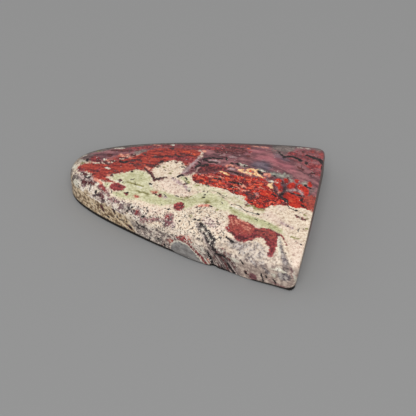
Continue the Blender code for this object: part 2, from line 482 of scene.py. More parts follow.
minerals["rose"] = {  # rosier bands in the mauve
    "shades": ((180, 112, 118), (156, 92, 100), (126, 76, 84)),
    "grain": "silk",
    "soft": 0.8,
    "ragged": 1.2,
    "patches": (
        ((9.6, 8.4), (11, 9.4), (13.4, 9.6), (15, 8.6), (17, 7.8), (18, 6), (16.4, 6.2), (14.6, 6.8),
         (12.4, 8), (10.4, 7.8)),
        ((6.4, 9), (9, 10.4), (11.4, 11.2), (11.6, 10.2), (9, 9)),
    ),
}

minerals["smokeGrey"] = {  # the far rim, and grey streaks
    "shades": ((152, 136, 128), (120, 106, 102), (82, 72, 70)),
    "grain": "fibre",
    "soft": 0.3,
    "ragged": 1.4,
    "patches": (
        ((-23.6, 0.3), (-22.2, 0.9), (-21.2, 1.3), (-20.2, 1.9), (-19.3, 2.6), (-17.9, 3.1), (-16.9, 3.9),
         (-15.6, 4.8), (-14.1, 5.4), (-12.1, 5.9), (-10.9, 6.7), (-9.7, 7.5), (-8.2, 8.4), (-5.8, 9),
         (-3.2, 9.5), (-0.2, 10.1), (2.7, 11.2), (5.4, 13), (8.6, 14.4), (11, 16.6), (2, 16), (-8.2, 13),
         (-18.1, 9.1), (-24, 4.1)),
        ((-11.3, 3.8), (-9.9, 4.2), (-9.3, 5), (-9.7, 5.6), (-10.6, 5.7), (-11.5, 5.2), (-12.1, 4.4)),
        ((12.7, 11.6), (14, 11), (16, 11.1), (16.6, 12.4), (16.2, 14.6), (12.7, 14.4), (12.1, 12.8)),
        ((20.4, 12.4), (21.1, 12.4), (21.3, 14.4), (20.2, 14.4)),
    ),
    "mottles": (
        ((9.3, -11.8), (10.3, -11.8), (11.7, -12.6), (13, -12.7), (12.7, -13.7), (10.7, -13.4),
         (9.7, -12.8)),
        ((-22, 0.4), (-20, 0.4), (-19, 1.2), (-18.6, 2.4), (-20.4, 1.8), (-22, 1)),
        ((-11.1, -7.6), (-9.3, -7.8), (-8.2, -8.4), (-9.5, -8.8)),
        ((13.2, 10), (15.6, 10.4), (16.2, 12.6), (12.8, 13), (12.2, 11.4)),
        ((20.8, 1.6), (22.2, 2), (22.2, 3.2), (20.8, 2.6)),
    ),
    "strokes": (
        (0.35, 0.5, (-20, -3.2), (-19.2, -3.6), (-18.3, -4), (-17.4, -4.3)),
        (0.3, 0.25, (-1.3, 2.2), (-1.2, 2.9)),
        (0.3, 0.4, (4.2, -9.9), (5, -10.7), (5.9, -11.5), (7, -12.6)),
        (0.35, 0.3, (-22.4, 0.8), (-22.3, -0.6), (-21.9, -1.8)), (0.3, 0.4, (-21.2, -2.6), (-20.2, -3.2)),
        (0.08, 0.6, (18.1, -10.3), (18.6, -11.5), (19.1, -12.9), (19.7, -14.2), (20.2, -15.2)),
    ),
    "wallPatches": (
        ((-4.2, 2.7), (-3, 2.7), (-2.6, 2.2), (-3.1, 1.9), (-4.2, 2)),
        ((7.5, 4.2), (8.4, 4.4), (9.5, 4.1), (9.3, 3.6), (8, 3.5)),
    ),
    "wallStrokes": (
        (0.5, 0.45, (6.3, 3.7), (6.5, 2.6), (6.7, 1.2)), (0.5, 0.4, (-6.5, 3.4), (-5.9, 3.3)),
        (0.45, 0.3, (9.8, 2.3), (10.2, 1.5), (10.8, 1.2)), (0.25, 0.2, (-8.6, 3.2), (-7.6, 2.9)),
    ),
}

minerals["brickRed"] = {  # the broad red field behind the tip
    "shades": ((192, 78, 62), (151, 55, 48), (88, 34, 36)),
    "grain": "fibre",
    "soft": 0.28,
    "ragged": 1.7,
    "patches": (
        ((-20.9, -1.1), (-20, -0.4), (-19.1, 0), (-17.9, 0.1), (-16.3, 0.3), (-15.1, 0.6), (-14.7, 1.5),
         (-13.3, 2.3), (-12.1, 3.3), (-10.9, 3.9), (-9.7, 5.3), (-8.8, 6.3), (-6.2, 7.2), (-3.2, 7.8),
         (-0.4, 7.9), (0.2, 7.2), (-0.1, 5.9), (-0.8, 4.5), (-1.6, 3), (-2.1, 3.2), (-2.4, 3.7),
         (-2.8, 4.1), (-3.3, 3.9), (-3.7, 4.1), (-4.5, 4), (-5, 3.7), (-5.5, 3.3), (-6.1, 2.9), (-6.6, 2.3),
         (-7.1, 1.5), (-7.2, 0.9), (-7.8, 0.3), (-8.6, 0.2), (-9.6, 0.2), (-10.3, 0), (-11, -0.4),
         (-11.6, -0.9), (-12.4, -1.2), (-13.2, -1.6), (-13.9, -1.9), (-14.5, -2.6), (-15, -3),
         (-14.7, -3.1), (-14, -3.5), (-13, -3.8), (-12.1, -4), (-11.3, -4.2), (-11.4, -4.5), (-12.3, -4.3),
         (-13.7, -4.1), (-15.1, -4), (-16, -3.8), (-16.6, -4.2), (-17.3, -3.8), (-17.4, -3), (-18.3, -2.5),
         (-19.3, -2.1), (-20.6, -1.7)),
        ((20.3, 0.6), (21.2, 1), (24, 1.2), (24, -2.9), (21.6, -2.7), (20.5, -1.4)),
    ),
    "strokes": (
        (0.2, 0.22, (0.9, -12.1), (2, -12.3), (3, -12.7)), (0.4, 0.3, (5, 11.2), (6.4, 11.4), (8, 11.6)),
    ),
    "spots": (
        (19.8, 12.7, 0.5, 0.5), (21.5, 12.3, 0.45, 0.5), (20.8, -4.6, 0.3, 0.22), (21.2, -5, 0.22, 0.18),
    ),
    "mottles": (((-15.1, 2.5), (-13.7, 3.5), (-12.1, 3.7), (-12.5, 2.3), (-14.1, 1.7)),),
    "wallStrokes": ((0.3, 0.3, (-1.1, 2.9), (-0.8, 2.6)),),
}

minerals["emberRed"] = {  # brighter streaks in it
    "shades": ((186, 78, 60), (164, 62, 51), (126, 46, 43)),
    "grain": "fibre",
    "soft": 0.35,
    "ragged": 1.6,
    "strokes": (
        (0.5, 0.6, (-9, 4.8), (-7.5, 5.2), (-6, 5.8), (-4.5, 6.3), (-3, 6.7), (-1.5, 7), (-0.7, 6.7)),
        (0.5, 0.7, (-13.5, -0.3), (-12.2, 0.2), (-11, 0.6)),
        (0.6, 0.6, (-10.8, 2), (-9.4, 3), (-8, 3.2), (-7.4, 2.8)), (0.4, 0.4, (-19.4, -0.9), (-17.8, -0.9)),
    ),
}

minerals["crimson"] = {  # the wing on the near right, and dark red spots
    "shades": ((178, 80, 78), (136, 54, 58), (82, 34, 40)),
    "soft": 0.16,
    "ragged": 1.5,
    "patches": (
        ((8.4, -7), (8.9, -6.8), (9.7, -6.9), (10.3, -7.4), (10.6, -7.9), (11.4, -8), (12.3, -7.9),
         (13, -8.2), (13.6, -8.8), (14.1, -8.9), (15.1, -8.5), (16.3, -8.6), (17.1, -9), (17.9, -9.4),
         (18.3, -9.6), (18, -10), (18.1, -10.8), (18, -11.6), (18, -12.3), (17.9, -13), (17.7, -13.8),
         (17.3, -14), (16.9, -13.9), (16.7, -13.5), (16.9, -12.9), (16.8, -12.3), (16, -11.9),
         (15.8, -11.4), (15.4, -10.9), (15.1, -10.7), (14.7, -10.8), (14, -11.2), (13.6, -11.5),
         (13.1, -11.8), (12.4, -12), (11.7, -12.1), (10.9, -12.1), (10.4, -11.8), (10.3, -11.2),
         (9.7, -10.8), (9.2, -10.5), (8.6, -10.3), (8.4, -10), (8.6, -9.6), (9, -9.3), (9, -8.8),
         (8.9, -8.3), (8.5, -7.9)),
        ((-1.5, -6.8), (-1.1, -6.1), (-0.4, -5.8), (0.2, -6), (0.5, -6.7), (0.4, -7.6), (-0.1, -8),
         (-0.8, -8.1), (-1.3, -7.6)),
        ((-13.8, -4.6), (-12.9, -3.9), (-11.9, -4), (-10.6, -4.5), (-11, -5.2), (-11.6, -5.6),
         (-12.8, -5.7), (-13.7, -5.3)),
        ((-15.9, -4.4), (-14.7, -4.8), (-13.9, -5.9), (-14.6, -6.2), (-15.4, -5.5)),
        ((-5.6, 4.1), (-4.4, 4.3), (-2.8, 4.5), (-1.6, 3.8), (-0.6, 4.4), (-0.2, 5.6), (-1.6, 5.6),
         (-3.4, 5.4), (-5, 5.2)),
        ((2.5, 10), (4, 10.2), (5.6, 10.6), (7.6, 10.8), (8.8, 11.6), (7.4, 11.9), (4.6, 11.2),
         (2.4, 10.6)),
        ((0.6, 2.4), (2.4, 2.7), (5, 3.5), (6, 4.2), (4.4, 4.8), (2.9, 4.7), (1.2, 4.6)),
    ),
    "strokes": (
        (0.4, 0.6, (-9.5, 6.8), (-7, 7.7), (-4, 8.3), (0, 8.8), (4, 9.2)),
        (0.16, 0.08, (18.1, -9.5), (18.6, -9.9), (19, -10.5), (19.4, -11), (19.6, -11.6)),
        (0.3, 0.28, (-8.4, 0.6), (-7.9, 0.3), (-7.4, -0.1)),
        (0.4, 0.5, (-12.6, 5.6), (-11, 6), (-9.8, 6.5)), (0.3, 0.2, (-14.8, 2), (-13.8, 1.9)),
        (0.5, 0.4, (20.2, 8.2), (22, 8.8)), (0.25, 0.2, (-20.3, -1.6), (-19.5, -1.9)),
    ),
    "spots": (
        (-5.4, -4.85, 0.4, 0.3), (-4.4, -5.15, 0.5, 0.42), (-10.4, -6, 0.5, 0.35), (-8.4, -6.35, 0.5, 0.2),
        (-0.6, -7.05, 0.75, 0.6), (-14.7, -6.5, 0.3, 0.2), (-16.8, -1.5, 0.42, 0.28), (8.7, 9.5, 0.35, 0.3),
        (-7.4, -9, 0.4, 0.3), (-1.9, -9.5, 0.4, 0.3), (-18.2, 1, 0.9, 0.7), (-17.6, -3.3, 0.32, 0.3),
        (16.2, 11, 0.7, 0.45), (20.2, -4.7, 0.22, 0.18),
    ),
    "mottles": (
        ((2.4, 8.5), (4.6, 8.4), (6.4, 9.2), (8.6, 10.2), (9.6, 11.6), (6.6, 11.4), (2.6, 10.2)),
        ((-14.4, 4), (-11.6, 4.8), (-9.4, 6.2), (-6, 7.6), (-2, 8.4), (-2.6, 9.2), (-7, 8.6), (-10, 7.2),
         (-12.6, 5.8), (-15, 4.8)),
        ((6.7, -13), (9.1, -13.5), (10.5, -14.1), (8.7, -13.8)),
        ((14.8, 9.8), (17, 12.4), (20.4, 13.6), (26.5, 13.6), (26.5, 5), (21.4, 6), (20, 8), (17.6, 9)),
        ((0.8, 1.9), (2.2, 2.2), (4, 3), (4.4, 4.4), (3, 5), (1, 3.2)),
        ((5, 14.4), (10, 15.2), (16, 16), (16, 18), (4, 17.4)), ((-6, 12.8), (-1, 14), (1, 16.6), (-4, 16)),
        ((-17, 9.6), (-12, 11.6), (-11, 13.4), (-16, 12.6)),
    ),
    "wallPatches": (((0.2, 4.4), (0.8, 5), (2, 5.2), (2.7, 4.6), (1.8, 4.1), (0.6, 3.9)),),
    "wallStrokes": ((0.34, 0.4, (1.9, 4.5), (2.8, 4), (3.8, 3.1), (4.8, 2.2), (5.6, 1)),),
}

minerals["rust"] = {  # lighter red, mottled over crimson and brick
    "shades": ((208, 112, 90), (174, 80, 66), (122, 52, 48)),
    "grain": "grit",
    "soft": 0.4,
    "ragged": 1.8,
    "mottles": (
        ((8.9, -7.4), (10.7, -7.7), (12.1, -8.2), (13.6, -9.2), (13.2, -10.4), (11.1, -10.7), (9.7, -10.2),
         (8.9, -8.8)),
        ((13.8, -9.2), (15.4, -8.9), (17.2, -9.4), (17.4, -10.6), (15.8, -10.4), (14.4, -10.2)),
        ((10.3, -2.2), (11.8, -2.4), (14.2, -2.4), (14.6, -3.6), (13.4, -4.1), (11.6, -3.8), (10.6, -3.4)),
        ((12.3, -4.2), (14.3, -4.2), (14, -4.5), (12.5, -4.5)),
        ((-17, 0.4), (-15, 1), (-14.4, 2.4), (-15.6, 1.8)),
        ((20.6, 0.4), (24, 0.8), (24, -2.6), (21.8, -2.4), (20.8, -1.2)),
    ),
    "strokes": ((0.25, 0.2, (-5.9, -4.6), (-5.1, -4.4)), (0.17, 0.17, (-8.7, -6.3), (-8, -6.3))),
    "wallSpots": ((-0.7, 3.2, 0.5, 0.3),),
}

minerals["scarlet"] = {  # the band of bright grains
    "cells": (
        (210, 54, 38), (228, 86, 62), (190, 42, 32), (150, 30, 30), (218, 68, 48), (124, 38, 42),
        (178, 78, 72),
    ),
    "pools": (120, 24, 28),
    "veins": (52, 22, 24),
    "sparks": (246, 142, 116),
    "soft": 0.1,
    "ragged": 1.2,
    "patches": (
        ((-0.1, 1.1), (0.5, 1.6), (1, 1.5), (1.8, 1.7), (2.4, 2), (2.9, 2.5), (3.6, 2.6), (4.7, 3.2),
         (5.9, 3.3), (6.7, 2.9), (7.7, 2.9), (8.7, 3.4), (10.1, 3), (11.7, 3.4), (12.7, 3.1), (13.6, 2.5),
         (14.3, 1.6), (14.9, 0.6), (15.7, -0.2), (16.2, -0.6), (16.9, -1), (17.6, -1.6), (18.4, -2.4),
         (17, -2.5), (16, -2.7), (15.1, -3.1), (14.7, -3.7), (14, -4.2), (12.5, -4.2), (11.5, -3.9),
         (10.8, -3.6), (10.5, -2.9), (10.3, -2.1), (9.7, -1.7), (8.9, -1.9), (7.7, -1.6), (6.7, -1.1),
         (5.4, -1), (3.9, -0.8), (3, -0.7), (2.2, -0.8), (1.5, -0.7), (0.9, -0.6), (0.2, -0.2)),
        ((16.9, 1.2), (17.6, 1), (18.6, 0.5), (20, 0.6), (20.6, 0.2), (20.8, -1), (22, -2.8), (20.6, -2.4),
         (19.2, -2.4), (18.1, -2.3), (17.4, -1.4), (16.9, -0.4)),
    ),
}

minerals["stormGrey"] = {  # grey shadows below the wing
    "shades": ((200, 190, 182), (148, 137, 136), (92, 82, 86)),
    "grain": "lump",
    "soft": 0.3,
    "ragged": 1.9,
    "mottles": (
        ((9.2, -12.2), (10.6, -12.7), (12.4, -12.5), (13.6, -12.1), (14.4, -11.8), (15.4, -12.2),
         (16.2, -13.2), (16.8, -14.6), (15, -15.2), (13, -14.4), (11, -13.2), (9.4, -12.6)),
    ),
    "patches": (((10, -12), (11.2, -12.1), (12.6, -12.6), (12.4, -13.2), (11, -12.9)),),
    "wallPatches": (((18.6, 4.3), (21, 4.5), (21.2, 3.2), (19, 2.7)),),
    "wallStrokes": ((0.3, 0.3, (13.9, 5), (15, 4.4)), (0.25, 0.3, (16.2, 4.6), (17, 3.6))),
    "strokes": ((0.08, 0.22, (18.2, -10.8), (18.8, -12.3), (19.3, -13.4), (19.9, -14.6)),),
}

minerals["slateBand"] = {  # the streaked band across the near wall
    "shades": ((202, 184, 174), (150, 132, 126), (84, 72, 70)),
    "grain": "slant",
    "soft": 0.3,
    "ragged": 1.1,
    "strokes": ((0.3, 0.45, (3.5, -9.9), (4.3, -11.1), (5.4, -12.2), (7, -13.1)),),
    "wallPatches": (
        ((5.6, 3.4), (6.6, 5), (8.4, 5.1), (10.2, 4.7), (11.2, 3), (11.6, 1.6), (10.8, 0.4), (9.2, -0.4),
         (7.2, -0.4), (6, 0.6)),
    ),
}

minerals["petalRed"] = {  # the bright petals at the right end
    "shades": ((214, 66, 44), (188, 44, 30), (140, 24, 20)),
    "spread": 0.17,
    "soft": 0.07,
    "ragged": 0.7,
    "patches": (
        ((14.5, 3.3), (15.2, 3.8), (15.7, 3.5), (15.8, 2.6), (15.5, 1.9), (14.8, 2.2)),
        ((15.4, 1.9), (16.1, 2.1), (16.5, 1), (16, 0.5)),
        ((16.2, 3.9), (16.7, 4.3), (17, 3.4), (16.6, 2.8)),
        ((17, 2.2), (17.6, 3.5), (18.3, 3.3), (18.4, 2.2), (17.6, 1.5)),
        ((18, 4.4), (18.7, 4.3), (18.5, 3.5)),
        ((18.7, 2.9), (19.5, 3.5), (20.8, 2.2), (21, 0.8), (20.1, 0.9), (19.4, 2)),
        ((20.4, 4.1), (20.9, 4.2), (21.2, 3.3), (20.7, 3.2)),
        ((16.7, -0.3), (17, 0.9), (18.2, 0.4), (19.7, -0.2), (20.3, -1.3), (20.3, -2.4), (18.9, -2.5),
         (17.5, -1.3)),
        ((12.9, 0.1), (13.9, 0.3), (15.3, -0.5), (15.4, -1.5), (14.2, -1.4), (13.2, -1)),
    ),
    "spots": ((19, 1.05, 0.4, 0.18),),
}

minerals["orangeFire"] = {  # orange sparks
    "shades": ((240, 128, 84), (222, 92, 58), (196, 66, 44)),
    "soft": 0.12,
    "ragged": 1.2,
    "spots": (
        (3.2, 1.6, 0.35, 0.2), (4, 0.8, 0.4, 0.2), (7.8, 0.4, 0.35, 0.2), (-13.9, 3, 0.3, 0.14),
        (5.4, 0.2, 0.3, 0.15), (11, 0.8, 0.4, 0.2), (12.2, 1.6, 0.35, 0.2), (2, 0.6, 0.3, 0.16),
        (9.8, 4.55, 0.4, 0.3), (11.2, 4.6, 0.3, 0.15), (12.6, 3.5, 0.3, 0.14), (8.3, 10.6, 0.3, 0.2),
        (9.9, 2.4, 0.35, 0.18), (14, -0.5, 0.4, 0.18), (18.4, -1.2, 0.4, 0.25), (6.2, 1.9, 0.35, 0.18),
    ),
    "strokes": ((0.14, 0.16, (-3.2, 6.8), (-2.2, 6.9)), (0.12, 0.12, (-1.2, 6.5), (-0.8, 6.4))),
}

minerals["greyFacet"] = {  # the smooth grey block in the near wall
    "shades": ((166, 162, 158), (146, 142, 139), (122, 117, 115)),
    "grain": "silk",
    "soft": 0.08,
    "ragged": 0.3,
    "wallPatches": (
        ((-1.6, -0.8), (-1.4, 1), (-1, 2.3), (-0.1, 3.3), (1, 3.9), (2.4, 3.8), (3.5, 2.9), (4.6, 1.4),
         (5.5, -0.2)),
    ),
}

minerals["lilac"] = {  # pale veins
    "shades": ((208, 188, 182), (182, 154, 154), (142, 112, 116)),
    "spread": 0.06,
    "soft": 0.3,
    "ragged": 1.7,
    "strokes": (
        (0.22, 0.26, (-3.3, -0.4), (-2.9, -0.8), (-2.2, -1.1), (-1.5, -1.6), (-0.8, -1.7), (-0.3, -2.2),
         (-0.1, -2.7)),
        (0.16, 0.14, (-1.9, 1.3), (-1.5, 1.9), (-1.2, 2.6), (-0.9, 3.4), (-0.6, 4.1), (-0.2, 4.9), (0, 5.6),
         (0.1, 5.9)),
        (0.14, 0.12, (2.2, 5.6), (3, 5.7), (3.8, 5.6)),
        (0.2, 0.2, (17.3, 1.2), (18, 1.6), (18.7, 1.8), (19.4, 1.6), (20, 1)),
        (0.06, 0.1, (17.2, -6.4), (18.6, -7), (19.2, -7.2), (19.8, -7.5)),
        (0.1, 0.08, (3.4, 7.6), (4.2, 7.7)), (0.1, 0.08, (5.4, 7.3), (6.4, 7.4)),
    ),
    "spots": (
        (-3.4, -5.35, 0.3, 0.25), (-0.5, -10.6, 0.35, 0.3), (6.5, 4.3, 0.3, 0.2), (12.1, -1, 0.26, 0.26),
    ),
    "mottles": (((4.3, -8.4), (5.7, -8.6), (7.1, -9.8), (5.7, -10.2), (4.3, -9.4)),),
}

minerals["blueGrey"] = {  # bluish shadows in the mauve
    "shades": ((122, 104, 114), (98, 84, 96), (68, 58, 66)),
    "grain": "silk",
    "soft": 0.8,
    "ragged": 1.8,
    "patches": (((9.5, 5.7), (9.7, 6.9), (11.2, 7.8), (12.8, 7.6), (13.5, 6.3), (13.2, 5), (11.8, 5.1)),),
    "strokes": (
        (0.35, 0.2, (12.6, 5.6), (13.6, 4.7), (15, 4.5)),
        (0.35, 0.3, (13.6, 9.8), (14.6, 9.4), (15.6, 8.9)),
        (0.18, 0.15, (16.1, 2.8), (16.5, 2.1), (16.7, 1.2), (16.7, 0.6)),
    ),
}

minerals["bruise"] = {  # dark clumps along the near edge
    "shades": ((198, 176, 168), (126, 102, 102), (58, 44, 46)),
    "grain": "lump",
    "spread": -0.14,
    "soft": 0.16,
    "ragged": 2.0,
    "patches": (
        ((-20.4, -2.3), (-18.8, -2.4), (-17.6, -2.8), (-16.6, -4.1), (-17.2, -4.7), (-18.9, -4.3),
         (-20.2, -3.4)),
    ),
    "mottles": (
        ((-20.6, -2), (-18.4, -2.8), (-17, -4.1), (-15.3, -5.3), (-13.4, -6.4), (-11.3, -7.1), (-9.4, -7.2),
         (-7.4, -7.9), (-5.8, -8.9), (-5.5, -10.1), (-8.1, -9.6), (-10.8, -8.5), (-13.5, -7.3),
         (-15.6, -6.4), (-17.6, -4.9), (-19.6, -3.6)),
    ),
}

minerals["sage"] = {  # grey-green flecks behind the petals
    "shades": ((180, 178, 162), (150, 148, 136), (108, 102, 100)),
    "grain": "fibre",
    "soft": 0.4,
    "ragged": 1.7,
    "patches": (
        ((13.2, 5), (14.6, 5.4), (16.4, 5.3), (17.8, 4.8), (16.6, 4.3), (14.8, 4.3), (13.5, 4.3)),
        ((7.6, 5.6), (8.6, 6.2), (9, 5.6), (8.4, 5.2)),
        ((19.2, 3.6), (20.2, 4.4), (20.4, 3.6), (19.8, 3.1)),
    ),
    "strokes": ((0.2, 0.2, (11.2, 5.3), (12.2, 5.1)), (0.2, 0.2, (17.2, 4.2), (17.6, 3.8))),
}

minerals["salmon"] = {  # salmon flecks and hair lines
    "shades": ((244, 178, 152), (224, 144, 122), (196, 108, 94)),
    "spread": 0.05,
    "soft": 0.16,
    "ragged": 1.3,
    "strokes": (
        (0.2, 0.2, (-14.1, 3.3), (-13.3, 3.1), (-12.7, 3.4)),
        (0.2, 0.22, (-16.8, -3.8), (-16.1, -4), (-15.5, -4.4)),
        (0.22, 0.28, (3, -6.2), (3.6, -5.9), (4.3, -5.7), (4.6, -5.6)),
        (0.22, 0.2, (12.4, 4.4), (13.3, 4.5), (13.4, 4.1)), (0.2, 0.2, (-8.6, 1.2), (-8, 0.9)),
        (0.16, 0.12, (5.4, 4.9), (6.1, 5.3), (7.3, 4.9)), (0.1, 0.06, (7.6, 4.1), (9, 3.9), (10.2, 3.4)),
        (0.05, 0.05, (2.8, 1.4), (4.4, 1.9), (5.6, 1.6)),
        (0.05, 0.04, (8.2, 0.2), (9.4, -0.6), (10.6, -0.4)), (0.05, 0.05, (11.6, -0.6), (12.6, -1.4)),
        (0.05, 0.04, (12.4, 0.8), (13.4, 0.6)), (0.3, 0.3, (9.2, 0.6), (9.6, 0.4)),
        (0.03, 0.02, (9, -7.5), (9.7, -9)), (0.02, 0.02, (10.1, -8.4), (12.8, -9.2)),
        (0.02, 0.02, (10.5, -7.7), (12.2, -8.3)), (0.02, 0.02, (9.7, -7.4), (10.4, -8.8)),
        (0.02, 0.02, (11.2, -8.9), (12.9, -9.9)),
    ),
    "spots": (
        (15.7, 0.45, 0.4, 0.14), (9.3, 11.6, 0.4, 0.14), (11, 11.7, 0.4, 0.12), (-0.5, 9.5, 0.3, 0.12),
        (0.55, 7.7, 0.42, 0.25), (-12, 3, 0.24, 0.18), (0.7, 1.5, 0.16, 0.12), (1.8, 1.5, 0.16, 0.12),
        (-14.6, -2.4, 0.22, 0.16), (-8.5, 7.6, 0.4, 0.16), (-15.8, 1.25, 0.22, 0.16),
    ),
    "wallStrokes": ((0.1, 0.08, (5.9, 2.2), (5.9, 1.2)),),
}

minerals["amber"] = {  # the yellow drops above the scarlet
    "shades": ((255, 226, 182), (246, 198, 142), (216, 132, 86)),
    "spread": 0.06,
    "soft": 0.1,
    "ragged": 1.2,
    "strokes": (
        (0.12, 0.15, (7.7, 4.4), (8.3, 4.6)),
        (0.18, 0.2, (9.1, 4.4), (9.3, 4.9), (9.8, 5.1), (10.4, 5), (10.8, 4.6)),
        (0.17, 0.2, (9.2, 4.1), (9.8, 3.95), (10.4, 4.1), (11.2, 3.9)),
        (0.15, 0.13, (11, 5.1), (11.7, 4.9)), (0.18, 0.12, (10.9, 4.2), (11.5, 3.9), (12.3, 3.4)),
        (0.14, 0.12, (4.8, 3.2), (5.4, 3), (6.1, 2.7)), (0.1, 0.08, (7.9, 4.2), (8.8, 4)),
        (0.12, 0.12, (14.2, 2.4), (14, 1.9)), (0.3, 0.26, (13.9, 1.9), (14.3, 1.4)),
    ),
}

minerals["paleQuartz"] = {  # white flecks and hair lines, and a painted highlight on the crease at the near right corner
    "shades": ((246, 240, 226), (226, 218, 200), (196, 190, 170)),
    "spread": 0.06,
    "soft": 0.12,
    "ragged": 1.3,
    "strokes": (
        (0.28, 0.22, (-22, -0.3), (-21.6, -0.8), (-21.3, -1.2)), (0.3, 0.25, (-20.9, -3.4), (-20.1, -4)),
        (0.2, 0.2, (-20.9, 0.3), (-20, 0.25)),
        (0.14, 0.1, (18, -10), (18.1, -11), (18.4, -12.2), (18.8, -13.4)),
        (0.12, 0.12, (-6.9, -3), (-6.3, -3.4)), (0.14, 0.14, (-12.6, -3.4), (-12.1, -3.5)),
        (0.14, 0.12, (-8.8, -4), (-8.1, -4.1)),
        (0.06, 0.08, (7.7, -1.9), (9.5, -2.5), (10.7, -3.2), (12.1, -4.4)),
    ),
    "spots": (
        (-15.3, -0.7, 0.3, 0.2), (-18.3, -3.1, 0.25, 0.2), (0.3, -2.4, 0.25, 0.2),
        (-5.55, 8.35, 0.35, 0.28), (17.3, 13.4, 0.35, 0.15), (18.8, 13.6, 0.4, 0.15), (8.2, 5.8, 0.35, 0.1),
        (7.5, 6, 0.18, 0.1), (-16.45, 1.3, 0.2, 0.16), (14.3, 2.85, 0.5, 0.12), (4.7, -10.9, 0.22, 0.16),
        (5.6, -11.6, 0.24, 0.16), (6.5, -12.3, 0.2, 0.14), (-17.7, -4.5, 0.22, 0.16),
        (-16.1, -4.7, 0.3, 0.2), (11.8, 5.1, 0.3, 0.16), (-20.6, 1.9, 0.3, 0.14),
    ),
    "mottles": (
        ((7.9, -4.6), (11.7, -5.4), (13.6, -6), (12.1, -5.7), (8.7, -5)),
        ((-16, 4.7), (-14.8, 5), (-13.6, 5.2), (-14.8, 5.3)),
    ),
    "wallStrokes": (
        (0.2, 0.16, (5.1, 4.2), (5.3, 3.6)), (0.1, 0.08, (21.7, 4.6), (21.8, 2)),
        # a painted highlight along the crease between face and wall at the near right corner
        (0.16, 0.1, (18.6, 4.8), (19.9, 4.6)),
        (0.03, 0.06, (-1, 2.4), (-0.1, 3.4), (1, 3.9), (2.5, 3.8), (3.5, 2.9), (4.6, 1.4)),
        (0.07, 0.06, (2.8, 4.7), (4, 3.7), (5, 2.7), (5.8, 1.4)),
        (0.06, 0.06, (7.6, 5.1), (8.9, 4.7), (10.6, 3.4)), (0.05, 0.05, (6.9, 3.4), (7.6, 1.9), (8.4, 0.6)),
    ),
    # the first wall spot is a painted highlight on that same crease
    "wallSpots": ((19.2, 4.5, 0.8, 0.12), (18, 3.4, 0.3, 0.3), (11.2, 3.9, 0.6, 0.3)),
}

minerals["oliveMoss"] = {  # olive threads in the green
    "shades": ((172, 166, 112), (142, 136, 84), (104, 94, 58)),
    "spread": 0.08,
    "soft": 0.16,
    "ragged": 1.3,
    "strokes": (
        (0.16, 0.12, (-10.8, -3.4), (-9.4, -3.5), (-8, -3.7)),
        (0.12, 0.12, (20, -9.5), (20.6, -9.6), (21.1, -9.6)),
        (0.14, 0.14, (11.1, -4.1), (12.1, -4), (12.6, -4.3)), (0.1, 0.08, (12.8, -4.4), (14.1, -4.3)),
        (0.1, 0.08, (-0.6, -4.75), (0.1, -4.7), (0.5, -4.5), (1.1, -4.1)),
        (0.15, 0.12, (-8.6, -5.1), (-6.5, -5.3)),
    ),
    "spots": (
        (3.2, -3.9, 0.17, 0.15), (4.2, -4.8, 0.5, 0.36), (6.2, -6.3, 0.18, 0.15),
        (-0.15, -0.85, 0.22, 0.16), (2.1, -8.6, 0.24, 0.18), (-20.2, -0.3, 0.22, 0.18),
        (8.5, -5.3, 0.18, 0.16), (21.4, -4, 0.2, 0.16), (21.8, -4.7, 0.16, 0.14), (22.2, -7.1, 0.2, 0.16),
        (1.6, -1.2, 0.2, 0.14), (-5.4, 1.9, 0.14, 0.12), (-3.8, 1.2, 0.14, 0.12), (-4, 0.6, 0.12, 0.1),
        (-5, 2.2, 0.12, 0.1), (-18.4, 3.6, 0.3, 0.2),
    ),
}

